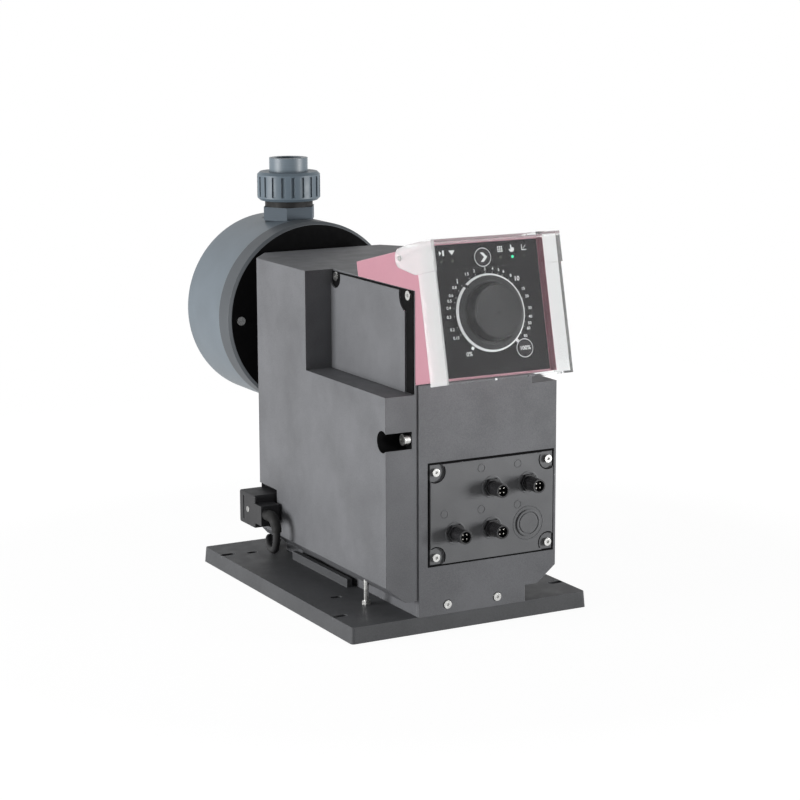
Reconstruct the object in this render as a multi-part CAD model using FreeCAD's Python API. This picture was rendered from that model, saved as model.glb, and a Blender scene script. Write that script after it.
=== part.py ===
import FreeCAD, Part
import math
import os

os.makedirs("parts", exist_ok=True)

V = FreeCAD.Vector
X_AXIS = V(1, 0, 0)
Y_AXIS = V(0, 1, 0)
Z_AXIS = V(0, 0, 1)

# Frame: origin in the middle of the base plate's underside, +Z up, the control panel faces -Y,
# the dosing head is at +Y and the mains plug at -X. Lengths are in millimetres.

# Base plate
base_width = 230.0
base_depth = 304.0
base_height = 14.0
base_draft = 1.0
base_skin = 4.5
base_wall = 4.0
base_rib = 2.5
base_ribs_across = 6
base_ribs_along = 7
outer_slot_spacing_x = 214.0
outer_slot_spacing_y = 228.0
outer_slot_length = 14.0
outer_slot_width = 6.6
inner_slot_spacing_x = 168.0
inner_slot_spacing_y = 172.0
inner_slot_shift_y = 24.0
inner_slot_length = 10.0
inner_slot_width = 5.0
slot_boss_wall = 2.5
base_corner = 3.0
foundation_screw_radius = 3.2
foundation_head_radius = 5.5
foundation_head_height = 6.0
foundation_boss_radius = 9.0
foundation_inset_x = 14.0
foundation_inset_y = 16.0
screw_gap = 0.5
hex_key = 2.5
rail_offset = 59.5
rail_width = 5.0
rail_height = 7.5
rail_start = -40.0
rail_end = 70.0
post_offset_x = 71.0
post_y = -93.5
post_radius = 2.2
post_collar = 7.0
post_collar_height = 3.5

# Main housing
body_width = 164.3
body_front = -151.1
body_back = 125.0
top_over_stroke = 64.9
body_wall = 3.5
ledge_drop = 87.2
upper_width = 109.4
recess_back = -4.2
side_foot_height = 43.0
underside_height = 28.5
underside_width = 128.0
pedestal_width = 103.8
pedestal_back = 103.0
bevel_start = 95.0
back_width = 120.0

# Front cover
cover_left = -51.9
cover_front = -152.3
cover_thickness = 4.5
cover_drop = 79.5
cover_hole_margin = 8.0
cover_screw_spacing = 48.6
cover_screw_height = 22.0
cover_screw_radius = 3.6
cover_screw_head = 2.2
cover_screw_length = 9.0
cover_screw_sink = 1.5
wire_opening_margin = 14.0

# Screw pocket in the left front corner
pocket_radius = 9.3
pocket_drop = 37.7
pocket_setback = 5.8
pocket_depth = 24.6
pocket_screw_radius = 5.0
pocket_screw_length = 6.0

# Side covers
side_cover_thickness = 2.5
side_cover_flange = 0.9
side_cover_gap = 0.4
side_cover_front = -138.7
side_cover_ear = 9.0
side_cover_drop = 2.5
side_cover_front_scoop = 14.5
side_cover_back_scoop = 10.0
side_screw_radius = 4.0
side_screw_head = 1.5
side_screw_drop = 3.0
side_screw_inset = 8.0

# Connector plate and its sockets
plate_width = 119.5
plate_height = 85.5
plate_thickness = 3.2
plate_centre_x = 18.3
plate_centre_z = 101.0
plate_proud = 1.7
plate_gap = 1.0
plate_notch = 8.5
window_rim = 3.0
plate_screw_inset_x = 5.0
plate_screw_inset_z = 6.2
plate_screw_radius = 3.4
plate_screw_head = 2.6
gasket_thickness = 0.5
board_distance = 8.0
board_overhang = 5.0
relay_width = 22.0
relay_height = 28.0
relay_depth = 14.0
capacitor_radius = 9.0
capacitor_height = 20.0
terminal_width = 36.0
terminal_height = 26.0
terminal_depth = 3.0
post_margin = 4.0
post_width = 4.0
plate_screw_length = 5.5
socket_margin_x = 24.05
socket_margin_z = 25.0
socket_shift_x = -0.5
socket_shift_z = 0.45
socket_hex = 14.0
socket_rim_outer = 9.6
socket_rim_inner = 8.4
socket_rim_height = 0.5
socket_hex_height = 3.0
socket_radius = 6.0
socket_length = 15.0
socket_neck_radius = 5.5
socket_undercut = 1.0
socket_cup_radius = 4.7
socket_cup_depth = 8.5
socket_tail_radius = 7.0
thread_depth = 0.35
thread_count = 6
thread_lead = 1.2
thread_share = 0.45
tail_nut = 2.0
pin_radius = 0.5
pin_circle = 2.6
pin_count = 4
blank_radius = 11.5
blank_proud = 1.2
blank_neck_radius = 8.0
blank_rim = 1.6

# Control housing, tilted back; it is drawn in its own frame: x, w into the body, v up the face
tilt = 13.0
panel_foot_y = -186.2
panel_foot_drop = 71.1
panel_width = 114.4
panel_height = 111.0
panel_depth = 110.5
panel_wall = 3.0
bezel_depth = 5.0
frame_back = -157.0
lip_width = 4.0
lip_drop = 77.0
lip_inset = 0.5
lip_depth = 3.0
fascia_width = 102.4
fascia_low = 1.8
fascia_high = panel_height - 1.0
fascia_thickness = 2.5
fascia_recess = 0.4
fascia_gap = 0.1
fascia_seat = 3.3
dial_height = 0.4694 * panel_height
dial_radius = 0.2883 * panel_height
dial_skirt = 4.9
cap_radius = 0.2027 * panel_height
cap_height = 15.1
dial_gap = 0.3
rim_height = 1.1
rim_bevel = 0.6
skirt_run = 4.6
skirt_lip = 1.6
skirt_step = 1.0
cap_flare = 1.2
cap_bevel = 1.6
cap_dish = 0.8
shaft_seat = 5.0
pointer_radius = 1.5
pointer_inset = 1.6
pointer_depth = 0.7
pointer_angle = -42.5
shaft_radius = 3.0
shaft_fit = 0.05
encoder_radius = 7.0
encoder_height = 10.0
board_offset = 14.0
board_thickness = 1.6
board_width = 92.0
board_low = 8.0
board_high = panel_height - 10.0
spacer_radius = 2.5
spacer_x = 42.0
spacer_low = 13.0
spacer_high = panel_height - 24.0
key_radius = 7.0
key_clearance = 0.3
key_proud = 0.8
key_dish_radius = 40.0
key_dish_depth = 0.35
key_play = 0.3
key_flange = 1.6
key_flange_thickness = 1.0
key_stem_radius = 2.0
key_stem_end = 4.8
mode_key_x = -1.3
mode_key_v = 0.8811 * panel_height
full_key_x = 29.2
full_key_v = 0.1874 * panel_height
switch_half = 3.2
switch_gap = 0.8
light_radius = 1.3
light_v = 0.8694 * panel_height
light_bar = 2.0
left_lights = (-40.0, -29.7)
right_lights = (15.7, 27.0, 38.5)

# Clear lid
lid_gap = 0.4
lid_wall = 1.8
lid_depth = 27.0
lid_foot = 3.5
hood_foot = panel_height - 23.0
hood_step = 1.0
hood_back = 15.0
hood_rise = 2.2
lid_back = 0.5
pivot_w = 27.0
pivot_v = panel_height - 6.6
ear_radius = 8.2
rod_radius = 2.2
rod_fit = 0.08
rod_end = 0.8
ear_slack = 0.4
ear_web = 2.4
hood_run = 4.0
lid_cut = 20.0
tab_width = 30.0
tab_reach = 3.5

# Mains inlet, plug and lead
inlet_front = 59.0
inlet_back = 100.5
inlet_low = 46.0
inlet_high = 84.0
inlet_depth = 12.0
insert_thickness = 5.0
plug_front = 62.0
plug_back = 95.0
plug_low = 50.0
plug_high = 80.0
plug_outer = -103.0
plug_slot_y = 86.0
plug_slot_width = 2.4
plug_slot_depth = 1.0
plug_slot_margin = 4.0
plug_screw_y = 76.8
plug_screw_z = 65.0
plug_screw_radius = 2.8
plug_screw_head = 1.8
plug_screw_sink = 1.5
plug_screw_length = 10.0
plug_screw_slot = 0.8
plug_side_fillet = 2.0
plug_end_fillet = 1.2
inlet_gap = 0.5
nose_front = 48.5
nose_low = 55.0
nose_high = 73.0
nose_inner = -84.5
relief_x = -97.0
relief_y = 29.0
relief_elbow = 12.0
relief_radius = 5.2
relief_tip_radius = 4.4
relief_margin = 2.5
relief_steps = 6
cord_diameter = 6.8

# Drive
stroke_height = 226.6
crank_y = 30.0
crank_throw = 2.0
crank_shaft_radius = 8.0
eccentric_radius = 16.0
eccentric_width = 10.0
wheel_teeth = 72
pinion_teeth = 18
gear_module = 1.5
gear_width = 12.0
tooth_tip = 0.9
tooth_root = 1.2
tooth_root_share = 0.29
tooth_tip_share = 0.10
gear_start = 20.0
rod_width = 9.0
rod_ring = 6.0
rod_height = 12.0
rod_clearance = 0.08
wrist_y = 78.0
wrist_radius = 4.0
yoke_cheek = 4.0
yoke_gap = 1.5
push_rod_radius = 8.0
push_rod_fit = 0.05
motor_size = 80.0
motor_length = 74.0
motor_shaft_radius = 7.0
motor_bore_depth = 22.0
mid_plate_start = 13.0
drive_plate = 4.0
left_plate_start = -20.0
right_plate_start = 36.0
drive_frame_front = -16.0
drive_frame_below = 118.6
drive_frame_above = 35.4
drive_wall = 10.0
left_plate_front = 10.0
left_plate_below = 22.6
bearing_radius = 14.0
shaft_overhang = 3.0
gear_play = 0.15
wheel_groove = 5.0
hub_radius = 15.0
wheel_holes = 6
wheel_hole_circle = 32.0
wheel_hole_radius = 9.0
motor_corner = 9.0
yoke_window = 8.4
yoke_window_height = 6.4
yoke_rim = 4.0
yoke_web = 12.4
push_rod_end = 166.0
bush_end = 150.0
bush_flange = 4.0

# Neck, flange and dosing head
flange_front = 144.8
head_front = 168.0
head_back = 243.0
head_radius = 88.0
flange_chamfer = 2.5
head_chamfer = 2.0
neck_radius = 56.0
neck_waist = 40.0
neck_plate = 5.0
neck_flare = 3.0
neck_bevel = 1.5
neck_collar = 2.0
spigot_radius = 30.0
bush_radius = 14.0
bolt_circle = 152.0
bolt_count = 6
bolt_radius = 4.0
bolt_hole_gap = 0.3
bolt_head_radius = 7.5
bolt_head_height = 8.0
bolt_end = 1.5
bolt_cover = 4.0
bolt_key = 6.0
diaphragm_radius = 63.0
diaphragm_thickness = 3.0
core_radius = 15.6
core_gap = 0.4
core_back = 158.0
core_front = 172.0
flange_room_radius = 20.0
chamber_radius = 45.0
chamber_depth = 10.0
channel_radius = 8.0
feed_radius = 6.5

# Valves
valve_y = 197.0
pad_height = 85.9
pad_radius = 28.0
spigot_depth = 27.0
valve_spigot_radius = 17.0
valve_hex = 46.0
valve_hex_height = 12.5
thread_radius = 21.0
thread_length = 25.0
seat_radius = 6.0
seat_depth = 5.0
cage_radius = 11.0
cage_height = 18.0
cage_bar = 3.0
cage_window = 5.0
cage_sill = 2.5
cage_slots = 3
cage_trim = 0.5
ball_radius = 7.5
ball_gap = 0.3
ball_seat_gap = 0.3
seal_height = 5.5
seal_radius = 22.8
nut_radius = 30.0
nut_gap = 6.0
nut_height = 27.0
nut_chamfer = 2.5
nut_ribs = 20
nut_rib_depth = 1.3
nut_rib_width = 3.4
nut_fit = 0.3
nut_band = 4.0
end_radius = 18.3
end_collar_radius = 20.0
end_collar = 3.0
end_height = 46.0
end_channel_radius = 9.0
pipe_radius = 12.5
pipe_depth = 19.0

# Far plug and coil of the lead
coil_centre = V(80.0, 216.0, 0.0)
coil_mid_radius = 37.0
plug_body_radius = 17.0
plug_body_length = 34.0
plug_pin_radius = 2.4
plug_pin_spacing = 19.0
plug_pin_length = 19.0
tail_radius = 6.5
shoulder_radius = 11.9
tail_length = 22.0
coil_lead_in = 25.0
coil_run = 13.0
coil_lead_out = 27.0
lead_gap = 0.05

TINY = 0.01


def box(x0, x1, y0, y1, z0, z1):
    return Part.makeBox(x1 - x0, y1 - y0, z1 - z0, V(x0, y0, z0))


def rod(radius, start, end):
    return Part.makeCylinder(radius, (end - start).Length, start, end - start)


def ring(outer, inner, start, end):
    return rod(outer, start, end).cut(rod(inner, start, end))


def prism(points, path):
    wire = Part.makePolygon(list(points) + [points[0]])
    return Part.Face(wire).extrude(path)


def prism_along_x(points, x0, x1):
    return prism([V(x0, y, z) for y, z in points], V(x1 - x0, 0, 0))


def prism_along_y(points, y0, y1):
    return prism([V(x, y0, z) for x, z in points], V(0, y1 - y0, 0))


def prism_along_z(points, z0, z1):
    return prism([V(x, y, z0) for x, y in points], V(0, 0, z1 - z0))


def turned(points, centre, axis):
    """Revolve (radius, height) points about an axis through centre."""
    wire = Part.makePolygon([V(r, 0, h) for r, h in points] + [V(points[0][0], 0, points[0][1])])
    shape = Part.Face(wire).revolve(V(0, 0, 0), Z_AXIS, 360)
    shape.Placement = FreeCAD.Placement(centre, FreeCAD.Rotation(Z_AXIS, axis))
    return Part.Solid(shape) if shape.ShapeType != "Solid" else shape


def hexagon(across_flats, start, end):
    radius = across_flats / math.sqrt(3)
    points = [V(radius * math.cos(math.radians(60 * k)), radius * math.sin(math.radians(60 * k)), 0)
              for k in range(6)]
    shape = prism(points, V(0, 0, (end - start).Length))
    shape.Placement = FreeCAD.Placement(start, FreeCAD.Rotation(Z_AXIS, end - start))
    return shape


def joined(shapes):
    first, rest = shapes[0], shapes[1:]
    return first.fuse(rest).removeSplitter() if rest else first


def mirrored_x(shape):
    return shape.mirror(V(0, 0, 0), X_AXIS)


def panel_point(x, w, v):
    """A point of the tilted control housing's own frame, in the pump's frame."""
    angle = math.radians(tilt)
    return V(x,
             panel_foot_y + w * math.cos(angle) + v * math.sin(angle),
             panel_foot_z - w * math.sin(angle) + v * math.cos(angle))


def tilted(shape):
    """Take a shape from the control housing's own frame into the pump's frame."""
    turn = FreeCAD.Rotation(X_AXIS, -tilt)
    placed = shape.copy()
    placed.Placement = FreeCAD.Placement(V(0, panel_foot_y, panel_foot_z), turn).multiply(
        shape.Placement)
    return placed


def save(name, shape):
    shape.exportStep(f"parts/{name}.step")


# Places that several pieces share
body_top = stroke_height + top_over_stroke
ledge_height = body_top - ledge_drop
cover_top = body_top - cover_drop
pocket_height = ledge_height - pocket_drop
side_cover_top = body_top - side_cover_drop
panel_foot_z = body_top - panel_foot_drop
lip_foot = body_top - lip_drop
drive_frame_low = stroke_height - drive_frame_below
drive_frame_high = stroke_height + drive_frame_above
left_plate_low = stroke_height - left_plate_below
half_body = body_width / 2
half_upper = upper_width / 2
half_pedestal = pedestal_width / 2
cover_seat = cover_front + cover_thickness
side_face = half_upper + side_cover_thickness
wheel_pitch = wheel_teeth * gear_module / 2
pinion_pitch = pinion_teeth * gear_module / 2
motor_z = stroke_height - wheel_pitch - pinion_pitch
eccentric_z = stroke_height + crank_throw


def foot_slope():
    return (side_foot_height - underside_height) / (half_body - underside_width / 2)


# Base plate

def slot_places():
    outer = [(sx * outer_slot_spacing_x / 2, sy * outer_slot_spacing_y / 2,
              outer_slot_length, outer_slot_width) for sx in (-1, 1) for sy in (-1, 1)]
    inner = [(sx * inner_slot_spacing_x / 2, sy * inner_slot_spacing_y / 2 + inner_slot_shift_y,
              inner_slot_length, inner_slot_width) for sx in (-1, 1) for sy in (-1, 1)]
    return outer + inner


def slot(x, y, length, width, z0, z1):
    """An upright slot with round ends, long along X."""
    half = (length - width) / 2
    ends = [rod(width / 2, V(x + s * half, y, z0), V(x + s * half, y, z1)) for s in (-1, 1)]
    return joined([box(x - half, x + half, y - width / 2, y + width / 2, z0, z1)] + ends)


def foundation_screw_places():
    across = half_pedestal - foundation_inset_x
    ends = (body_front + foundation_inset_y, pedestal_back - foundation_inset_y)
    return [(sx * across, y) for sx in (-1, 1) for y in ends]


def base_plate():
    def outline(inset, z):
        half_x = base_width / 2 - inset
        half_y = base_depth / 2 - inset
        corners = [V(-half_x, -half_y, z), V(half_x, -half_y, z), V(half_x, half_y, z),
                   V(-half_x, half_y, z)]
        return Part.makePolygon(corners + [corners[0]])

    plate = Part.makeLoft([outline(0, 0), outline(base_draft, base_height)], True)
    upright = [edge for edge in plate.Edges
               if abs(edge.Vertexes[0].Z - edge.Vertexes[1].Z) > base_height / 2]
    plate = plate.makeFillet(base_corner, upright)
    half_x = base_width / 2 - base_wall - base_draft
    half_y = base_depth / 2 - base_wall - base_draft
    hollow = box(-half_x, half_x, -half_y, half_y, -1, base_height - base_skin)
    ribs = []
    for k in range(1, base_ribs_across + 1):
        x = -half_x + 2 * half_x * k / (base_ribs_across + 1)
        ribs.append(box(x - base_rib / 2, x + base_rib / 2, -half_y, half_y, 0, base_height - base_skin))
    for k in range(1, base_ribs_along + 1):
        y = -half_y + 2 * half_y * k / (base_ribs_along + 1)
        ribs.append(box(-half_x, half_x, y - base_rib / 2, y + base_rib / 2, 0, base_height - base_skin))
    for x, y, length, width in slot_places():
        grow = 2 * slot_boss_wall
        ribs.append(slot(x, y, length + grow, width + grow, 0, base_height - base_skin))
    for x, y in foundation_screw_places():
        ribs.append(rod(foundation_boss_radius, V(x, y, 0), V(x, y, base_height - base_skin)))
    inside = box(-half_x - TINY, half_x + TINY, -half_y - TINY, half_y + TINY, 0, base_height)
    ribs = [rib.common(inside) for rib in ribs]
    plate = plate.cut(hollow).fuse(ribs)
    holes = [slot(x, y, length, width, -1, base_height + 1) for x, y, length, width in slot_places()]
    for x, y in foundation_screw_places():
        holes.append(rod(foundation_screw_radius, V(x, y, -1), V(x, y, base_height + 1)))
        holes.append(rod(foundation_head_radius + screw_gap, V(x, y, -1), V(x, y, foundation_head_height)))
    rails = [box(s * rail_offset - rail_width / 2, s * rail_offset + rail_width / 2, rail_start,
                 rail_end, base_height - 1, base_height + rail_height) for s in (-1, 1)]
    return plate.cut(holes).fuse(rails).removeSplitter()


def foundation_screws():
    reach = underside_height - 1
    shapes = []
    for x, y in foundation_screw_places():
        shank = rod(foundation_screw_radius - TINY, V(x, y, 1), V(x, y, reach - 6))
        head = rod(foundation_head_radius, V(x, y, screw_gap), V(x, y, foundation_head_height))
        socket = hexagon(2 * hex_key, V(x, y, 0), V(x, y, foundation_head_height * 0.6))
        shapes.append(head.fuse(shank).cut(socket).removeSplitter())
    return Part.makeCompound(shapes)


def support_posts():
    """Upright studs between the base plate and the sloping underside of the housing."""
    shapes = []
    for side in (-1, 1):
        x = side * post_offset_x
        low = V(x, post_y, base_height)
        top = side_foot_height - foot_slope() * (half_body - post_offset_x)
        post = rod(post_radius, low, V(x, post_y, top + 4))
        collar = hexagon(post_collar, low, V(x, post_y, base_height + post_collar_height))
        below = housing_solid(0)
        shapes.append(post.fuse(collar).cut(below).removeSplitter())
    return Part.makeCompound(shapes)


# Main housing

def cross_section(inset):
    """Front view of the body's right and left sides with the chamfered underside."""
    slope = foot_slope()
    lift = inset * math.sqrt(1 + slope * slope)
    half = half_body - inset
    corner = side_foot_height - slope * inset + lift
    low = underside_height + inset
    knee = half_body + (low - side_foot_height - lift) / slope
    top = body_top - inset
    right = [(half, top), (half, corner), (knee, low)]
    return right + [(-x, z) for x, z in reversed(right)]


def bevel(side, inset):
    """Wedge that cuts the upright rear corner."""
    far = back_width / 2
    half = half_body
    dx = half - back_width / 2
    dy = body_back - bevel_start
    shift = inset / math.hypot(dx, dy)
    sx, sy = -dy * shift, -dx * shift
    ax, ay = half + sx, bevel_start + sy
    bx, by = back_width / 2 + sx, body_back + sy
    points = [(ax + dx, ay - dy), (bx - dx, by + dy), (bx + far, by + far + dy), (ax + far + dx, ay - dy)]
    return prism_along_z([(side * x, y) for x, y in points], -1, body_top + 1)


def housing_solid(inset):
    """Body block; inset draws it inside its own walls."""
    front = body_front if inset == 0 else cover_seat + inset
    block = prism_along_y(cross_section(inset), front, body_back - inset)
    cutters = [bevel(side, inset) for side in (-1, 1)]
    for side in (-1, 1):
        near, far = side * (half_upper - inset), side * (half_body + 10)
        cutters.append(box(min(near, far), max(near, far), body_front - 10, recess_back + inset,
                           ledge_height - inset, body_top + 10))
    return block.cut(cutters)


def inlet_recess(grow):
    outer = -half_body - 5
    return box(outer, -half_body + inlet_depth + grow, inlet_front - grow, inlet_back + grow,
               inlet_low - grow, inlet_high + grow)


def screw_pocket(grow):
    x0 = -half_body - 5
    y = body_front + pocket_setback
    return rod(pocket_radius + grow, V(x0, y, pocket_height),
               V(-half_body + pocket_depth + grow, y, pocket_height))


def housing():
    shell = housing_solid(0).cut(housing_solid(body_wall))
    outside = housing_solid(0)
    pedestal = box(-half_pedestal, half_pedestal, body_front, pedestal_back, base_height,
                   underside_height + body_wall)
    pedestal_hollow = box(-half_pedestal + body_wall, half_pedestal - body_wall,
                          cover_seat + body_wall, pedestal_back - body_wall,
                          base_height - 1, underside_height)
    bosses = [rod(foundation_boss_radius, V(x, y, base_height), V(x, y, underside_height + 1))
              for x, y in foundation_screw_places()]
    lining = inlet_recess(body_wall).common(outside)
    pocket_boss = screw_pocket(body_wall).common(outside)
    shell = shell.fuse([pedestal.cut(pedestal_hollow)] + bosses + [lining, pocket_boss])
    cover_room = box(cover_left, half_body + 5, body_front - 5, cover_seat, base_height - 1, cover_top)
    margin = cover_hole_margin
    opening = box(cover_left + margin, half_body - body_wall - screw_gap, body_front - 5,
                  cover_seat + body_wall + 1, side_foot_height + 2, ledge_height - margin)
    edge = wire_opening_margin
    wire_opening = box(-half_upper + edge, half_upper - edge, body_front - 5,
                       cover_seat + body_wall + 1, cover_top + edge, body_top - edge)
    cuts = [cover_room, opening, wire_opening, inlet_recess(0), screw_pocket(0),
            rod(spigot_radius + TINY, V(0, body_back - body_wall - 1, stroke_height),
                V(0, body_back + 1, stroke_height))]
    for x, y in foundation_screw_places():
        cuts.append(rod(foundation_screw_radius, V(x, y, base_height - 1), V(x, y, underside_height - 1)))
    for side in (-1, 1):
        for y, z in side_screw_places():
            cuts.append(rod(side_screw_radius / 2 + TINY, V(side * (half_upper - body_wall - 1), y, z),
                            V(side * (half_upper + 1), y, z)))
    for x, z in cover_screw_places():
        cuts.append(rod(cover_screw_radius / 2 + TINY, V(x, cover_seat - 1, z),
                        V(x, cover_seat + 8, z)))
    screw_end = -half_body + pocket_depth
    cuts.append(rod(pocket_screw_radius / 2 + TINY,
                    V(screw_end - 1, body_front + pocket_setback, pocket_height),
                    V(screw_end + body_wall + 1, body_front + pocket_setback, pocket_height)))
    return shell.cut(cuts).removeSplitter()


def cap_screw(head_radius, head_height, shank_radius, shank_length, key, seat, out):
    """Socket cap screw: its head stands on seat, towards out."""
    out = V(out).normalize()
    head = rod(head_radius, seat, seat + out * head_height)
    shank = rod(shank_radius, seat - out * shank_length, seat)
    socket = hexagon(key, seat + out * (head_height * 0.45), seat + out * (head_height + 1))
    return head.fuse(shank).cut(socket).removeSplitter()


def pocket_screw():
    seat = V(-half_body + pocket_depth, body_front + pocket_setback, pocket_height)
    return cap_screw(pocket_screw_radius, pocket_screw_length, pocket_screw_radius / 2,
                     body_wall + 0.5, pocket_screw_radius, seat, -X_AXIS)


# Front cover

def cover_screw_places():
    return [(side * cover_screw_spacing / 2, cover_screw_height) for side in (-1, 1)]


def plate_outline(grow, y0, y1, notch):
    half_x = plate_width / 2 + grow
    half_z = plate_height / 2 + grow
    shape = box(plate_centre_x - half_x, plate_centre_x + half_x, y0, y1,
                plate_centre_z - half_z, plate_centre_z + half_z)
    if notch:
        cutters = [rod(notch, V(x, y0 - 1, z), V(x, y1 + 1, z)) for x, z in plate_screw_places()]
        shape = shape.cut(cutters)
    return shape


def plate_screw_places():
    dx = plate_width / 2 - plate_screw_inset_x
    dz = plate_height / 2 - plate_screw_inset_z
    return [(plate_centre_x + sx * dx, plate_centre_z + sz * dz) for sx in (-1, 1) for sz in (-1, 1)]


plate_front = cover_front - plate_proud
plate_back = plate_front + plate_thickness
gasket_back = plate_back + gasket_thickness


def front_cover():
    section = cross_section(0)
    foot = [(x, z) for x, z in section if z < side_foot_height + 1 and x > 0]
    points = [(cover_left, base_height), (cover_left, cover_top), (side_face, cover_top),
              (side_face, ledge_height), (half_body, ledge_height)] + foot
    points += [(half_pedestal, underside_height), (half_pedestal, base_height)]
    cover = prism_along_y(points, cover_front, cover_seat)
    room = plate_outline(plate_gap, cover_front - 1, gasket_back, 0)
    window = plate_outline(-plate_notch - window_rim, cover_front - 1, cover_seat + 1, 0)
    holes = [rod(cover_screw_radius / 2 + TINY, V(x, cover_front - 1, z), V(x, cover_seat + 1, z))
             for x, z in cover_screw_places()]
    holes += [rod(plate_screw_radius / 2 + TINY, V(x, cover_front - 1, z), V(x, cover_seat + 1, z))
              for x, z in plate_screw_places()]
    sunk = [rod(cover_screw_radius + screw_gap, V(x, cover_front - 1, z),
                V(x, cover_front + cover_screw_sink, z))
            for x, z in cover_screw_places()]
    bosses = []
    for x, z in board_post_places():
        bosses.append(rod(post_width, V(x, cover_seat, z), V(x, board_front, z)))
    return cover.fuse(bosses).cut([room, window] + holes + sunk).removeSplitter()


def cover_screws():
    shapes = []
    for x, z in cover_screw_places():
        seat = V(x, cover_front + cover_screw_sink, z)
        shapes.append(cap_screw(cover_screw_radius, cover_screw_head, cover_screw_radius / 2,
                                cover_screw_length, hex_key, seat, -Y_AXIS))
    return Part.makeCompound(shapes)


# Side covers

def side_screw_places():
    z = side_cover_top - side_screw_drop
    return [(side_cover_front - side_cover_ear / 2, z),
            (recess_back - side_cover_gap - side_screw_inset, z)]


def side_cover(side):
    back = recess_back - side_cover_gap
    low = ledge_height + side_cover_gap
    inner = half_upper
    thin = box(inner, inner + side_cover_flange, side_cover_front - side_cover_ear, back,
               low, side_cover_top + side_screw_drop / 2)
    panel = box(inner, inner + side_cover_thickness, side_cover_front, back, low, side_cover_top)
    front_screw, back_screw = side_screw_places()
    scoops = [rod(side_cover_front_scoop, V(inner + side_cover_flange, *front_screw),
                  V(inner + side_cover_thickness + 1, *front_screw)),
              rod(side_cover_back_scoop, V(inner + side_cover_flange, *back_screw),
                  V(inner + side_cover_thickness + 1, *back_screw))]
    holes = [rod(side_screw_radius / 2 + TINY, V(inner - 1, *place), V(inner + 3, *place))
             for place in side_screw_places()]
    cover = thin.fuse(panel.cut(scoops)).cut(holes).removeSplitter()
    return cover if side > 0 else mirrored_x(cover)


def side_screws(side):
    shapes = []
    for y, z in side_screw_places():
        seat = V(half_upper + side_cover_flange, y, z)
        shapes.append(cap_screw(side_screw_radius, side_screw_head, side_screw_radius / 2,
                                side_cover_flange + body_wall, hex_key, seat, X_AXIS))
    screws = Part.makeCompound(shapes)
    return screws if side > 0 else mirrored_x(screws)


# Connector plate, sockets and the board behind them

board_front = cover_seat + board_distance


def board_post_places():
    dx = plate_width / 2 - board_overhang
    dz = plate_height / 2 + post_margin
    return [(plate_centre_x + sx * dx, plate_centre_z + sz * dz) for sx in (-1, 1) for sz in (-1, 1)]


socket_pitch_x = plate_width / 2 - socket_margin_x
socket_pitch_z = plate_height - 2 * socket_margin_z
socket_column_x = plate_centre_x + socket_shift_x
socket_row_z = plate_centre_z - socket_pitch_z / 2 + socket_shift_z


def socket_places():
    left, middle, right = (socket_column_x + k * socket_pitch_x for k in (-1, 0, 1))
    top = socket_row_z + socket_pitch_z
    return [(middle, top), (right, top), (left, socket_row_z), (middle, socket_row_z)]


def blank_place():
    return (socket_column_x + socket_pitch_x, socket_row_z)


def connector_plate():
    plate = plate_outline(0, plate_front, plate_back, 0)
    pockets = [rod(plate_notch, V(x, plate_front - 1, z), V(x, plate_front + plate_proud, z))
               for x, z in plate_screw_places()]
    holes = [rod(plate_screw_radius / 2 + TINY, V(x, plate_front - 1, z), V(x, plate_back + 1, z))
             for x, z in plate_screw_places()]
    holes += [rod(socket_neck_radius + TINY, V(x, plate_front - 1, z), V(x, plate_back + 1, z))
              for x, z in socket_places()]
    x, z = blank_place()
    holes.append(rod(blank_neck_radius + TINY, V(x, plate_front - 1, z), V(x, plate_back + 1, z)))
    rims = [ring(socket_rim_outer, socket_rim_inner, V(x, plate_front - socket_rim_height, z),
                 V(x, plate_front + TINY, z)) for x, z in socket_places()]
    return joined([plate.cut(pockets + holes)] + rims)


def plate_gasket():
    gasket = plate_outline(-0.5, plate_back, gasket_back, 0)
    window = plate_outline(-plate_notch - window_rim, plate_back - 1, gasket_back + 1, 0)
    holes = [rod(plate_screw_radius / 2 + TINY, V(x, plate_back - 1, z), V(x, gasket_back + 1, z))
             for x, z in plate_screw_places()]
    return gasket.cut([window] + holes)


def plate_screws():
    shapes = []
    for x, z in plate_screw_places():
        seat = V(x, plate_front + plate_proud, z)
        shapes.append(cap_screw(plate_screw_radius, plate_screw_head, plate_screw_radius / 2,
                                plate_screw_length, hex_key, seat, -Y_AXIS))
    return Part.makeCompound(shapes)


def signal_socket(x, z):
    """Round connector with a hexagon collar, a threaded barrel and a cup in its end."""
    tip = plate_front - socket_hex_height - socket_length
    collar = hexagon(socket_hex, V(x, plate_front, z), V(x, plate_front - socket_hex_height, z))
    barrel = rod(socket_radius, V(x, plate_front - socket_hex_height - socket_undercut, z), V(x, tip, z))
    neck = rod(socket_neck_radius, V(x, plate_back + tail_nut, z), V(x, tip + 1, z))
    nut = ring(socket_tail_radius, socket_neck_radius - TINY, V(x, plate_back, z),
               V(x, plate_back + tail_nut, z))
    pitch = (socket_length - socket_undercut - 2 * thread_lead) / thread_count
    grooves = []
    for k in range(thread_count):
        y = tip + thread_lead + k * pitch
        grooves.append(ring(socket_radius + 1, socket_radius - thread_depth, V(x, y, z),
                            V(x, y + pitch * thread_share, z)))
    cup = rod(socket_cup_radius, V(x, tip - 1, z), V(x, plate_back + 3, z))
    return joined([collar, barrel, neck, nut]).cut(grooves + [cup]).removeSplitter()


def socket_insert(x, z):
    """Black carrier that holds the contacts."""
    tip = plate_front - socket_hex_height - socket_length
    start = tip + socket_cup_depth
    body = rod(socket_cup_radius - TINY, V(x, start, z), V(x, plate_back + tail_nut, z))
    tail = rod(socket_neck_radius, V(x, plate_back + tail_nut, z), V(x, board_front, z))
    return joined([body, tail])


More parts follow.
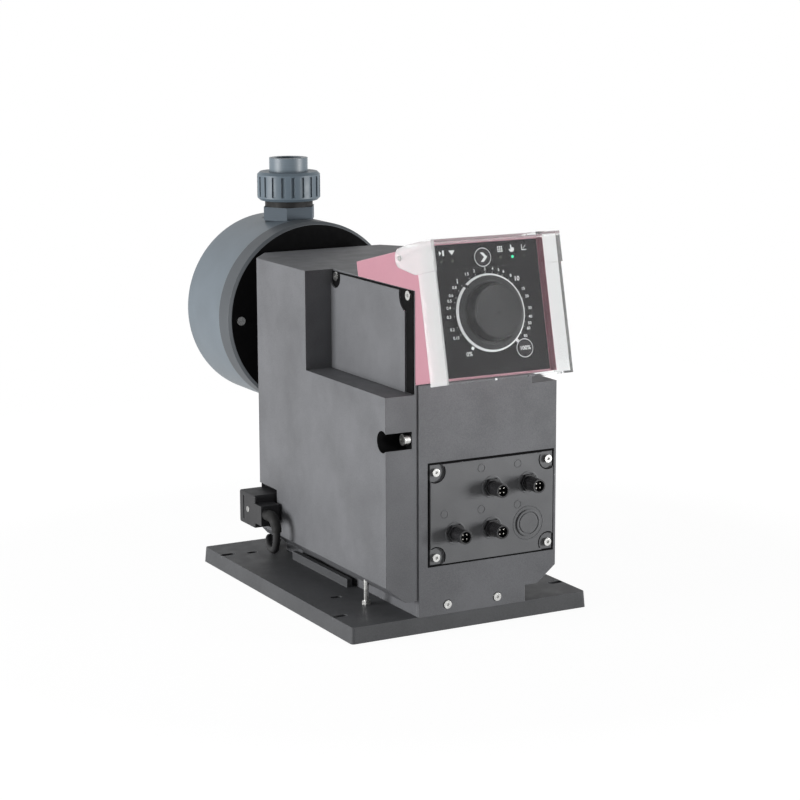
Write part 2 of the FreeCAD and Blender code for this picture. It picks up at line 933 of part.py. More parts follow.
def socket_pins(x, z):
    tip = plate_front - socket_hex_height - socket_length
    start = tip + socket_cup_depth
    shapes = []
    for k in range(pin_count):
        angle = math.radians(45 + 360 * k / pin_count)
        px, pz = x + pin_circle * math.cos(angle), z + pin_circle * math.sin(angle)
        shapes.append(rod(pin_radius, V(px, tip + 2, pz), V(px, start, pz)))
    return shapes


def blanking_plug():
    x, z = blank_place()
    start = plate_front
    flange = rod(blank_radius, V(x, start - blank_proud, z), V(x, start, z))
    neck = rod(blank_neck_radius, V(x, start, z), V(x, plate_back + tail_nut, z))
    nut = ring(blank_neck_radius + blank_rim, blank_neck_radius - TINY, V(x, plate_back, z),
               V(x, plate_back + tail_nut, z))
    groove = ring(blank_radius - blank_rim, blank_radius - blank_rim - 1, V(x, start - blank_proud - 1, z),
                  V(x, start - blank_proud / 2, z))
    return joined([flange, neck, nut]).cut(groove).removeSplitter()


def main_board():
    xs = [x for x, z in board_post_places()]
    zs = [z for x, z in board_post_places()]
    board = box(min(xs) - board_overhang, max(xs) + board_overhang, board_front,
                board_front + board_thickness, min(zs) - board_overhang, max(zs) + board_overhang)
    face = board_front + board_thickness
    x, z = plate_centre_x, plate_centre_z
    edge = plate_width / 4
    low = z - plate_height / 3
    parts = [box(x - edge, x - edge + relay_width, face, face + relay_depth,
                 z - relay_height / 2, z + relay_height / 2),
             box(x + edge - terminal_width / 2, x + edge + terminal_width / 2, face,
                 face + terminal_depth, low, low + terminal_height)]
    for place in (x + edge - 1.5 * capacitor_radius, x + edge + 1.5 * capacitor_radius):
        parts.append(rod(capacitor_radius, V(place, face, z + plate_height / 4),
                         V(place, face + capacitor_height, z + plate_height / 4)))
    return joined([board] + parts)


# Control housing: shapes are drawn as x, w (into the body) and v (up the face), then tilted

half_panel = panel_width / 2
fascia_front = -bezel_depth + fascia_recess
fascia_back = fascia_front + fascia_thickness


def control_frame():
    inner = half_panel - panel_wall
    outer = box(-half_panel, half_panel, -bezel_depth, panel_depth, 0, panel_height)
    hollow = box(-inner, inner, fascia_back + fascia_seat, panel_depth - panel_wall,
                 panel_wall, panel_height - panel_wall)
    rebate = box(-fascia_width / 2 - fascia_gap, fascia_width / 2 + fascia_gap, -bezel_depth - 1,
                 fascia_back, fascia_low - fascia_gap, fascia_high + fascia_gap)
    window = box(-fascia_width / 2 + fascia_seat, fascia_width / 2 - fascia_seat, -bezel_depth - 1,
                 fascia_back + fascia_seat + 1, fascia_low + fascia_seat, fascia_high - fascia_seat)
    hinge_hole = rod(rod_radius + TINY, V(-half_panel - 1, pivot_w, pivot_v),
                     V(half_panel + 1, pivot_w, pivot_v))
    shell = tilted(outer.cut([hollow, rebate, window, hinge_hole]))
    below = box(-panel_width, panel_width, frame_back, panel_depth, panel_foot_z - panel_height, body_top)
    shell = shell.cut(below)
    lip_half = half_upper - lip_inset
    lip_inner = lip_half - lip_width
    back_y = panel_point(0, panel_depth - panel_wall, panel_height - panel_wall).y - lip_depth
    lip = box(-lip_half, lip_half, frame_back - lip_depth, body_front, lip_foot, body_top + panel_wall)
    lip = lip.cut(box(-lip_inner, lip_inner, frame_back - lip_depth - 1, body_front + 1, lip_foot + lip_width,
                      body_top + panel_wall + 1))
    seat = box(-lip_half, lip_half, frame_back - lip_depth, back_y, body_top, body_top + panel_wall)
    seat = seat.cut(box(-lip_inner, lip_inner, frame_back - lip_depth - 1, back_y - lip_width, body_top - 1,
                        body_top + panel_wall + 1))
    return shell.fuse([lip, seat]).removeSplitter()


def key_places():
    return [(mode_key_x, mode_key_v), (full_key_x, full_key_v)]


def fascia():
    panel = box(-fascia_width / 2, fascia_width / 2, fascia_front, fascia_back, fascia_low, fascia_high)
    holes = [rod(shaft_radius + 1, V(0, fascia_front - 1, dial_height), V(0, fascia_back + 1, dial_height))]
    holes += [rod(key_radius + key_clearance, V(x, fascia_front - 1, v), V(x, fascia_back + 1, v))
              for x, v in key_places()]
    holes += [rod(light_radius + TINY, V(x, fascia_front - 1, light_v), V(x, fascia_back + 1, light_v))
              for x in left_lights + right_lights]
    return tilted(panel.cut(holes))


def light_guides():
    shapes = []
    for lights in (left_lights, right_lights):
        bar = box(lights[0] - light_bar, lights[-1] + light_bar, fascia_back, fascia_back + light_bar,
                  light_v - light_bar, light_v + light_bar)
        posts = [rod(light_radius, V(x, fascia_front, light_v), V(x, fascia_back + 1, light_v))
                 for x in lights]
        shapes.append(tilted(joined([bar] + posts)))
    return Part.makeCompound(shapes)


def control_board():
    board = box(-board_width / 2, board_width / 2, board_offset, board_offset + board_thickness,
                board_low, board_high)
    spacers = [rod(spacer_radius, V(sx * spacer_x, fascia_back, v), V(sx * spacer_x, board_offset, v))
               for sx in (-1, 1) for v in (spacer_low, spacer_high)]
    encoder = rod(encoder_radius, V(0, board_offset - encoder_height, dial_height),
                  V(0, board_offset, dial_height))
    bore = rod(shaft_radius + shaft_fit, V(0, board_offset - encoder_height - 1, dial_height),
               V(0, board_offset - 1, dial_height))
    switches = [box(x - switch_half, x + switch_half, key_stem_end + switch_gap, board_offset,
                    v - switch_half, v + switch_half) for x, v in key_places()]
    return tilted(joined([board, encoder] + spacers + switches).cut(bore))


dial_base = fascia_front - dial_gap


def dial():
    """Knob with a dished skirt, a step and a tall cap; heights run outwards from its base."""
    skirt = dial_radius
    ridge = skirt - skirt_run - skirt_step
    groove = ridge - skirt_lip
    bore = shaft_radius + TINY
    points = [(bore, 0), (skirt, 0), (skirt, rim_height), (skirt - rim_bevel, rim_height + rim_bevel),
              (skirt - skirt_run, dial_skirt - rim_bevel), (ridge, dial_skirt), (groove, dial_skirt),
              (groove - skirt_step / 2, dial_skirt - skirt_step),
              (cap_radius + cap_flare, dial_skirt - skirt_step), (cap_radius, cap_height - cap_bevel),
              (cap_radius - cap_bevel / 3, cap_height - cap_bevel / 3),
              (cap_radius - cap_bevel, cap_height),
              (cap_radius - 1.5 * cap_bevel, cap_height - cap_dish / 2), (0, cap_height - cap_dish),
              (0, cap_height - shaft_seat), (bore, cap_height - shaft_seat)]
    knob = turned(points, V(0, dial_base, dial_height), -Y_AXIS)
    angle = math.radians(pointer_angle)
    radius = skirt - pointer_inset
    mark = rod(pointer_radius, V(0, 0, 0), V(0, 0, dial_skirt))
    mark.Placement = FreeCAD.Placement(
        V(radius * math.sin(angle), dial_base - pointer_depth, dial_height + radius * math.cos(angle)),
        FreeCAD.Rotation(Z_AXIS, -Y_AXIS))
    return tilted(knob.cut(mark))


def dial_shaft():
    return tilted(rod(shaft_radius, V(0, dial_base - cap_height + shaft_seat, dial_height),
                      V(0, board_offset - board_thickness, dial_height)))


def key(x, v):
    """Round key cap with a flange behind the panel and a stem to its switch."""
    flange_start = fascia_back + key_play
    cap = rod(key_radius, V(x, fascia_front - key_proud, v), V(x, flange_start + key_flange_thickness / 2, v))
    flange = rod(key_radius + key_flange, V(x, flange_start, v),
                 V(x, flange_start + key_flange_thickness, v))
    stem = rod(key_stem_radius, V(x, flange_start, v), V(x, key_stem_end, v))
    dish = Part.makeSphere(key_dish_radius,
                           V(x, fascia_front - key_proud - key_dish_radius + key_dish_depth, v))
    return tilted(joined([cap, flange, stem]).cut(dish))


# Clear lid

def lid():
    inner = half_panel + lid_gap
    outer = inner + lid_wall
    hood = outer + hood_step
    top = panel_height + lid_gap + hood_rise
    front = -lid_depth
    body = box(-outer, outer, front, lid_back, -lid_foot, hood_foot + 1)
    ear_low = pivot_v - ear_radius + ear_slack
    side = [(front - hood_step, hood_foot), (front - hood_step, top), (hood_back, top),
            (pivot_w + ear_web / 4, pivot_v + ear_radius - 2 * TINY), (pivot_w + ear_web, ear_low),
            (hood_run, hood_foot)]
    hood_block = prism_along_x(side, -hood, hood)
    ear = rod(ear_radius, V(-hood, pivot_w, pivot_v), V(hood, pivot_w, pivot_v))
    tab = box(-tab_width / 2, tab_width / 2, front - tab_reach, front + 1, -lid_foot, -lid_foot + lid_wall)
    hollow = box(-inner, inner, front + lid_wall, pivot_w + lid_cut, -lid_foot + lid_wall,
                 panel_height + lid_gap)
    open_back = box(-inner, inner, hood_back, pivot_w + lid_cut, -lid_foot, top + 1)
    open_foot = box(-inner, inner, -bezel_depth - lid_gap, lid_back + 1, -lid_foot - 1, 0)
    hole = rod(rod_radius + rod_fit, V(-hood - 1, pivot_w, pivot_v), V(hood + 1, pivot_w, pivot_v))
    shape = body.fuse([hood_block, ear, tab]).cut([hollow, open_back, open_foot, hole])
    return tilted(shape.removeSplitter())


def hinge_rod():
    half = half_panel + lid_gap + lid_wall + hood_step + rod_end
    return tilted(rod(rod_radius, V(-half, pivot_w, pivot_v), V(half, pivot_w, pivot_v)))


# Mains inlet, plug and lead

def mains_inlet():
    floor = -half_body + inlet_depth
    return box(floor - insert_thickness, floor, inlet_front + inlet_gap, inlet_back - inlet_gap,
               inlet_low + inlet_gap, inlet_high - inlet_gap)


def mains_plug():
    floor = -half_body + inlet_depth
    body = box(plug_outer, floor - insert_thickness, plug_front, plug_back, plug_low, plug_high)
    edges = [edge for edge in body.Edges if abs(edge.BoundBox.XLength) > plug_slot_margin]
    body = body.makeFillet(plug_side_fillet, edges)
    outer_edges = [edge for edge in body.Edges if edge.BoundBox.XMax < plug_outer + 0.1]
    body = body.makeFillet(plug_end_fillet, outer_edges)
    nose = box(plug_outer, nose_inner, nose_front, plug_front + 1, nose_low, nose_high)
    groove = box(plug_outer - 1, plug_outer + plug_slot_depth, plug_slot_y - plug_slot_width / 2,
                 plug_slot_y + plug_slot_width / 2, plug_low + plug_slot_margin,
                 plug_high - plug_slot_margin)
    well = rod(plug_screw_radius + screw_gap, V(plug_outer - 1, plug_screw_y, plug_screw_z),
               V(plug_outer + plug_screw_sink, plug_screw_y, plug_screw_z))
    bore = rod(plug_screw_radius / 2 + TINY, V(plug_outer, plug_screw_y, plug_screw_z),
               V(plug_outer + plug_screw_sink + plug_screw_length, plug_screw_y, plug_screw_z))
    return joined([body, nose]).cut([groove, well, bore])


def plug_screw():
    seat = V(plug_outer + plug_screw_sink, plug_screw_y, plug_screw_z)
    head = rod(plug_screw_radius, seat, seat - X_AXIS * plug_screw_head)
    shank = rod(plug_screw_radius / 2, seat, seat + X_AXIS * plug_screw_length)
    cross = box(seat.x - plug_screw_head - 1, seat.x - plug_screw_head / 2,
                plug_screw_y - plug_screw_slot / 2, plug_screw_y + plug_screw_slot / 2,
                plug_screw_z - plug_screw_radius - 1, plug_screw_z + plug_screw_radius + 1)
    return head.fuse(shank).cut(cross).removeSplitter()


relief_height = nose_high - relief_radius - relief_margin


def strain_relief():
    """Tapered sleeve that leaves the plug's nose and turns downwards."""
    straight = nose_front - relief_y - relief_elbow
    stations = [(V(relief_x, nose_front, relief_height), -Y_AXIS, 0.0)]
    for k in range(relief_steps + 1):
        angle = math.pi / 2 * k / relief_steps
        centre = V(relief_x, relief_y + relief_elbow * (1 - math.sin(angle)),
                   relief_height - relief_elbow * (1 - math.cos(angle)))
        heading = V(0, -math.cos(angle), -math.sin(angle))
        stations.append((centre, heading, straight + relief_elbow * angle))
    whole = stations[-1][2]
    circles = [Part.Wire(Part.Circle(centre, heading, relief_radius + (relief_tip_radius
               - relief_radius) * along / whole).toShape()) for centre, heading, along in stations]
    return Part.makeLoft(circles, True)


cord_start = V(relief_x, relief_y, relief_height - relief_elbow)
outer_turn = coil_mid_radius + cord_diameter / 2
inner_turn = coil_mid_radius - cord_diameter / 2
cord_floor = cord_diameter / 2
coil_entry = V(coil_centre.x - coil_lead_in, coil_centre.y - outer_turn, cord_floor)
coil_exit = V(coil_centre.x + coil_lead_out, coil_centre.y - outer_turn, cord_floor + 2 * cord_diameter)

cord_route = [
    cord_start,
    V(-97.0, 29.0, 35.0),
    V(-97.0, 45.5, 35.0),
    V(-89.0, 62.0, 43.0),
    V(-75.0, 84.0, 24.0),
    V(-62.0, 110.0, 17.8),
    V(-47.0, 130.0, 19.0),
    V(-29.0, 152.0, 27.0),
    V(-11.0, 172.0, 15.0),
    V(15.0, 177.0, 4.2),
    coil_entry - X_AXIS * coil_run,
    coil_entry,
]


def cord_wire(route):
    """Straight runs joined by tangent arcs, each as large as its two runs allow."""
    edges = []
    here = route[0]
    for before, corner, after in zip(route, route[1:], route[2:]):
        back = before - corner
        ahead = after - corner
        half = (math.pi - back.getAngle(ahead)) / 2
        cut = 0.45 * min(back.Length, ahead.Length)
        radius = cut / math.tan(half)
        print(f"cord bend radius {radius:.1f}, turn {math.degrees(2 * half):.0f} degrees")
        u = V(back).normalize()
        w = V(ahead).normalize()
        start = corner + u * cut
        end = corner + w * cut
        middle = V(u + w).normalize()
        reach = radius / math.cos(half) - radius
        edges.append(Part.LineSegment(here, start).toShape())
        edges.append(Part.Arc(start, corner + middle * reach, end).toShape())
        here = end
    edges.append(Part.LineSegment(here, route[-1]).toShape())
    return Part.Wire(edges)


def mains_cord():
    wire = cord_wire(cord_route)
    circle = Part.Wire(Part.Circle(cord_route[0], cord_route[1] - cord_route[0],
                                   cord_diameter / 2).toShape())
    tube = wire.makePipeShell([circle], True, True)
    expected = math.pi * cord_diameter ** 2 / 4 * wire.Length
    print(f"cord tube length {wire.Length:.1f}, volume {tube.Volume:.0f} of {expected:.0f}")
    return tube


def cord_coil():
    """Five turns of the lead, two side by side and a third layer outside, as one closed form."""
    outer = outer_turn + cord_diameter / 2
    inner = inner_turn - cord_diameter / 2
    points = [(inner, 0), (outer, 0), (outer, 3 * cord_diameter), (coil_mid_radius, 3 * cord_diameter),
              (coil_mid_radius, 2 * cord_diameter), (inner, 2 * cord_diameter)]
    coil = turned(points, coil_centre, Z_AXIS)
    lead = cord_diameter / 2 - lead_gap
    lead_in = rod(lead, coil_entry, V(coil_centre.x, coil_entry.y, coil_entry.z))
    lead_out = rod(lead, V(coil_centre.x, coil_exit.y, coil_exit.z), coil_exit)
    return coil.fuse([lead_in, lead_out]).removeSplitter()


def far_plug():
    """Round mains plug with two pins, lying beside the coil."""
    radius = plug_body_radius
    end = tail_length + plug_body_length
    points = [(0, 0), (relief_tip_radius, 0), (tail_radius, tail_length), (shoulder_radius, tail_length),
              (radius, tail_length + radius / 2), (radius, end), (0, end)]
    shapes = [turned(points, coil_exit, X_AXIS)]
    for side in (-1, 1):
        root = coil_exit + V(end, side * plug_pin_spacing / 2, 0)
        shapes.append(rod(plug_pin_radius, root, root + X_AXIS * plug_pin_length))
    return joined(shapes)


# Drive: motor, gears, crank, connecting rod and push rod

wall_start = body_back - body_wall - drive_wall


def gear(teeth, x0, centre, first_angle, backlash):
    """Spur gear about X with straight-sided teeth; first_angle is where one tooth points."""
    pitch_radius = teeth * gear_module / 2
    tip = pitch_radius + gear_module * tooth_tip
    root = pitch_radius - gear_module * tooth_root
    step = 2 * math.pi / teeth
    wide = tooth_root_share * step
    narrow = tooth_tip_share * step - backlash / pitch_radius
    points = []
    for k in range(teeth):
        middle = math.radians(first_angle) + k * step
        for radius, offset in ((root, -wide), (tip, -narrow), (tip, narrow), (root, wide)):
            angle = middle + offset
            points.append((centre.y + radius * math.cos(angle), centre.z + radius * math.sin(angle)))
    return prism_along_x(points, x0, x0 + gear_width)


crank_centre = V(0, crank_y, stroke_height)
motor_centre = V(0, crank_y, motor_z)


def on_axis(centre, x):
    return V(x, centre.y, centre.z)


def crank_wheel():
    wheel = gear(wheel_teeth, gear_start, crank_centre, -90, gear_play)
    bore = rod(crank_shaft_radius + TINY, on_axis(crank_centre, gear_start - 1),
               on_axis(crank_centre, gear_start + gear_width + 1))
    groove_start = gear_start + gear_width - wheel_groove
    groove = ring(wheel_pitch - 3 * gear_module, hub_radius, on_axis(crank_centre, groove_start),
                  on_axis(crank_centre, gear_start + gear_width + 1))
    holes = []
    for k in range(wheel_holes):
        angle = 2 * math.pi * k / wheel_holes
        y = crank_y + wheel_hole_circle * math.cos(angle)
        z = stroke_height + wheel_hole_circle * math.sin(angle)
        holes.append(rod(wheel_hole_radius, V(gear_start - 1, y, z), V(groove_start + 1, y, z)))
    return wheel.cut([bore, groove] + holes)


def crankshaft():
    """Shaft with an eccentric disc that lifts the connecting rod's big end."""
    start = left_plate_start - shaft_overhang
    end = right_plate_start + drive_plate + shaft_overhang
    shaft = rod(crank_shaft_radius, on_axis(crank_centre, start), on_axis(crank_centre, end))
    disc = rod(eccentric_radius, V(-eccentric_width / 2, crank_y, eccentric_z),
               V(eccentric_width / 2, crank_y, eccentric_z))
    return shaft.fuse(disc).removeSplitter()


def motor():
    half = motor_size / 2
    start = mid_plate_start - motor_length
    can = box(start, mid_plate_start, crank_y - half, crank_y + half, motor_z - half, motor_z + half)
    upright = [edge for edge in can.Edges if abs(edge.BoundBox.XLength) > motor_length / 2]
    can = can.makeChamfer(motor_corner, upright)
    bore = rod(motor_shaft_radius + push_rod_fit, on_axis(motor_centre, mid_plate_start - motor_bore_depth),
               on_axis(motor_centre, mid_plate_start + 1))
    return can.cut(bore)


def motor_pinion():
    shaft = rod(motor_shaft_radius, on_axis(motor_centre, mid_plate_start - motor_bore_depth + 1),
                on_axis(motor_centre, gear_start + gear_width))
    half_step = 180 / pinion_teeth
    return joined([gear(pinion_teeth, gear_start, motor_centre, 90 + half_step, gear_play), shaft])


def connecting_rod():
    half = rod_width / 2
    big = ring(eccentric_radius + rod_ring, eccentric_radius + rod_clearance,
               V(-half, crank_y, eccentric_z), V(half, crank_y, eccentric_z))
    small = rod(2 * wrist_radius, V(-half, wrist_y, eccentric_z), V(half, wrist_y, eccentric_z))
    bar = box(-half, half, crank_y + eccentric_radius + rod_ring / 2, wrist_y,
              eccentric_z - rod_height / 2, eccentric_z + rod_height / 2)
    wrist_half = yoke_gap + half + yoke_cheek
    pin = rod(wrist_radius, V(-wrist_half, wrist_y, eccentric_z), V(wrist_half, wrist_y, eccentric_z))
    return joined([big, small, bar, pin])


def push_rod():
    """Rod with a fork; the wrist pin works in a window in each of its cheeks."""
    inner = rod_width / 2 + yoke_gap
    outer = inner + yoke_cheek
    web = wrist_y + yoke_web
    start = wrist_y - yoke_window - yoke_rim
    high = yoke_rim + yoke_window_height
    cheeks = [box(s * inner if s > 0 else -outer, outer if s > 0 else -inner, start, web + 1,
                  stroke_height - high, stroke_height + high) for s in (-1, 1)]
    back = box(-outer, outer, web, web + yoke_rim, stroke_height - high, stroke_height + high)
    window = box(-outer - 1, outer + 1, wrist_y - yoke_window, wrist_y + yoke_window,
                 stroke_height - yoke_window_height, stroke_height + yoke_window_height)
    stem = rod(push_rod_radius, V(0, web, stroke_height), V(0, push_rod_end, stroke_height))
    return joined(cheeks + [back, stem]).cut(window).removeSplitter()


def drive_frame():
    """Three plates that carry the shafts, on the wall that closes the back of the drive."""
    wall = box(left_plate_start, right_plate_start + drive_plate, wall_start,
               wall_start + drive_wall, drive_frame_low, drive_frame_high)
    left = box(left_plate_start, left_plate_start + drive_plate, left_plate_front, wall_start + screw_gap,
               left_plate_low, drive_frame_high)
    plates = [box(x, x + drive_plate, drive_frame_front, wall_start + screw_gap, drive_frame_low,
                  drive_frame_high) for x in (mid_plate_start, right_plate_start)]
    holes = [rod(bearing_radius, on_axis(crank_centre, left_plate_start - 1),
                 on_axis(crank_centre, right_plate_start + drive_plate + 1)),
             rod(motor_shaft_radius + shaft_overhang, on_axis(motor_centre, mid_plate_start - 1),
                 on_axis(motor_centre, mid_plate_start + drive_plate + 1)),
             rod(bush_radius + bush_flange + TINY, V(0, wall_start - 1, stroke_height),
                 V(0, wall_start + drive_wall + 1, stroke_height))]
    return joined([wall, left] + plates).cut(holes)


def crank_bearings():
    """Bearing rings pressed into the three plates."""
    starts = (left_plate_start, mid_plate_start, right_plate_start)
    return Part.makeCompound([
        ring(bearing_radius, crank_shaft_radius + push_rod_fit, on_axis(crank_centre, x),
             on_axis(crank_centre, x + drive_plate)) for x in starts])


def guide_bush():
    """Bush that guides the push rod, with a flange in the drive frame's wall."""
    bush = ring(bush_radius, push_rod_radius + push_rod_fit, V(0, wall_start, stroke_height),
                V(0, bush_end, stroke_height))
    flange = ring(bush_radius + bush_flange, bush_radius - 1, V(0, wall_start, stroke_height),
                  V(0, wall_start + drive_wall, stroke_height))
    return bush.fuse(flange).removeSplitter()


# Neck, rear flange and dosing head

# The first bolt comes out of the flange's front face, and the others end inside the flange.
def bolt_places():
    places = []
    for k in range(bolt_count):
        angle = math.pi + 2 * math.pi * k / bolt_count
        tip = flange_front - bolt_end if k == 0 else flange_front + bolt_cover
        places.append((bolt_circle / 2 * math.cos(angle), stroke_height + bolt_circle / 2 * math.sin(angle), tip))
    return places


def neck():
    inner = body_back - body_wall
    bore = bush_radius + TINY
    length = flange_front - body_back
    points = [(bore, inner - body_back), (spigot_radius, inner - body_back), (spigot_radius, 0),
              (neck_radius, 0), (neck_radius, neck_plate),
              (neck_waist + neck_flare, neck_plate + neck_bevel),
              (neck_waist, neck_plate + neck_bevel + neck_flare), (neck_waist, length - neck_plate),
              (neck_waist + neck_flare, length - neck_collar), (neck_waist + neck_flare, length),
              (bore, length)]
    return turned(points, V(0, body_back, stroke_height), Y_AXIS)


def rear_flange():
    depth = head_front - flange_front
    step = bush_end - flange_front
    room = depth - diaphragm_thickness
    points = [(bush_radius + TINY, 0), (head_radius - flange_chamfer, 0), (head_radius, flange_chamfer),
              (head_radius, depth), (diaphragm_radius + TINY, depth), (diaphragm_radius + TINY, room),
              (flange_room_radius, room), (flange_room_radius, step), (bush_radius + TINY, step)]
    flange = turned(points, V(0, flange_front, stroke_height), Y_AXIS)
    holes = [rod(bolt_radius + bolt_hole_gap, V(x, tip - bolt_end, z), V(x, head_front + 1, z))
             for x, z, tip in bolt_places()]
    return flange.cut(holes)


def dosing_head():
    depth = head_back - head_front
    points = [(0, 0), (head_radius, 0), (head_radius, depth - head_chamfer),
              (head_radius - head_chamfer, depth), (0, depth)]
    head = turned(points, V(0, head_front, stroke_height), Y_AXIS)
    cuts = [rod(chamber_radius, V(0, head_front - 1, stroke_height),
                V(0, head_front + chamber_depth, stroke_height)),
            rod(feed_radius, V(0, head_front + 1, stroke_height), V(0, valve_y, stroke_height)),
            rod(channel_radius, V(0, valve_y, stroke_height - pad_height + 1),
                V(0, valve_y, stroke_height + pad_height - 1))]
    for side in (-1, 1):
        axis = Z_AXIS * side
        pad = V(0, valve_y, stroke_height) + axis * pad_height
        cuts.append(rod(pad_radius, pad, pad + axis * (head_radius - pad_height + 2)))
        cuts.append(rod(valve_spigot_radius + TINY, pad - axis * spigot_depth, pad + axis))
    cuts += [rod(bolt_radius + TINY, V(x, head_front - 1, z), V(x, head_back + 1, z))
             for x, z, tip in bolt_places()]
    return head.cut(cuts)


def head_bolts():
    shapes = []
    for x, z, tip in bolt_places():
        seat = V(x, head_back, z)
        shapes.append(cap_screw(bolt_head_radius, bolt_head_height, bolt_radius, head_back - tip,
                                bolt_key, seat, Y_AXIS))
    return Part.makeCompound(shapes)


def diaphragm():
    return ring(diaphragm_radius, core_radius + core_gap, V(0, head_front - diaphragm_thickness, stroke_height),
                V(0, head_front, stroke_height))


def diaphragm_core():
    core = rod(core_radius, V(0, core_back, stroke_height), V(0, core_front, stroke_height))
    return core.cut(rod(push_rod_radius + TINY, V(0, core_back - 1, stroke_height),
                        V(0, push_rod_end, stroke_height)))


# Valves, drawn at the origin standing on the head's pad and then placed

def placed_valve(shape, side):
    """side 1 puts the shape on top of the head, -1 turns it to hang below."""
    turn = FreeCAD.Rotation(X_AXIS, 0 if side > 0 else 180)
    placed = shape.copy()
    placed.Placement = FreeCAD.Placement(
        V(0, valve_y, stroke_height + side * pad_height), turn).multiply(shape.Placement)
    return placed


def valve_body(side):
    """Spigot, hexagon and threaded shank; the ball's seat faces up in both valves."""
    top = valve_hex_height + thread_length
    spigot = rod(valve_spigot_radius, V(0, 0, -spigot_depth), V(0, 0, 1))
    nut = hexagon(valve_hex, V(0, 0, 0), V(0, 0, valve_hex_height))
    shank = rod(thread_radius, V(0, 0, valve_hex_height), V(0, 0, top))
    bore = rod(seat_radius, V(0, 0, -spigot_depth - 1), V(0, 0, top + 1))
    if side > 0:
        low, high = seat_depth - spigot_depth, top + 1
    else:
        low, high = -spigot_depth - 1, cage_height - spigot_depth
    room = rod(cage_radius + TINY, V(0, 0, low), V(0, 0, high))
    return placed_valve(joined([spigot, nut, shank]).cut([bore, room]), side)


def valve_cage(side):
    """Cage of a valve in the pump's frame, standing on the seat."""
    seat = discharge_seat if side > 0 else suction_seat
    low = V(0, valve_y, seat)
    cage = ring(cage_radius, ball_radius + ball_gap, low, low + Z_AXIS * cage_height)
    for k in range(cage_slots):
        slot_box = box(0, cage_radius + 1, -cage_window / 2, cage_window / 2, cage_sill,
                       cage_height - cage_bar - 1)
        slot_box.rotate(V(0, 0, 0), Z_AXIS, 360 * (k + 0.25) / cage_slots)
        slot_box.translate(low)
        cage = cage.cut(slot_box)
    bar = cage_height - cage_bar + cage_trim / 5
    bars = []
    for k in range(2):
        piece = box(-cage_radius + cage_trim, cage_radius - cage_trim, -cage_bar / 2, cage_bar / 2, bar, cage_height)
        piece.rotate(V(0, 0, 0), Z_AXIS, 90 * k)
        piece.translate(low)
        bars.append(piece)
    return cage.fuse(bars).removeSplitter()


discharge_seat = stroke_height + pad_height - spigot_depth + seat_depth
suction_seat = stroke_height - pad_height + spigot_depth - cage_height


def ball(seat):
    height = math.sqrt(ball_radius ** 2 - seat_radius ** 2)
    return Part.makeSphere(ball_radius, V(0, valve_y, seat + height + ball_seat_gap))


def valve_seal(side):
    low = valve_hex_height
    seal = ring(seal_radius, thread_radius + TINY, V(0, 0, low), V(0, 0, low + seal_height))
    return placed_valve(seal, side)


def union_nut(side):
    """Ribbed nut that draws the pipe end down onto the valve."""
    low = valve_hex_height + nut_gap
    high = low + nut_height
    chamfer = nut_chamfer
    inner = thread_radius + nut_fit
    collar_top = valve_hex_height + thread_length + end_collar + TINY
    points = [(inner, 0), (nut_radius - chamfer, 0), (nut_radius, chamfer),
              (nut_radius, nut_height - chamfer), (nut_radius - chamfer, nut_height),
              (end_radius + nut_fit, nut_height), (end_radius + nut_fit, collar_top - low + nut_fit),
              (inner, collar_top - low + nut_fit)]
    nut = turned(points, V(0, 0, low), Z_AXIS)
    grooves = []
    for k in range(nut_ribs):
        groove = box(nut_radius - nut_rib_depth, nut_radius + 2, -nut_rib_width / 2, nut_rib_width / 2,
                     low + nut_band, high - nut_band)
        groove.rotate(V(0, 0, 0), Z_AXIS, 360 / nut_ribs * k)
        grooves.append(groove)
    return placed_valve(nut.cut(grooves), side)


def pipe_end(side):
    """End piece with a socket for the pipe, clamped by its collar."""
    low = valve_hex_height + thread_length
    top = valve_hex_height + end_height
    collar = rod(end_collar_radius, V(0, 0, low), V(0, 0, low + end_collar))
    tube = rod(end_radius, V(0, 0, low), V(0, 0, top))
    bore = rod(pipe_radius, V(0, 0, top - pipe_depth), V(0, 0, top + 1))
    channel = rod(end_channel_radius, V(0, 0, low - 1), V(0, 0, top))
    return placed_valve(joined([collar, tube]).cut([bore, channel]), side)


# Every piece is written to its own file

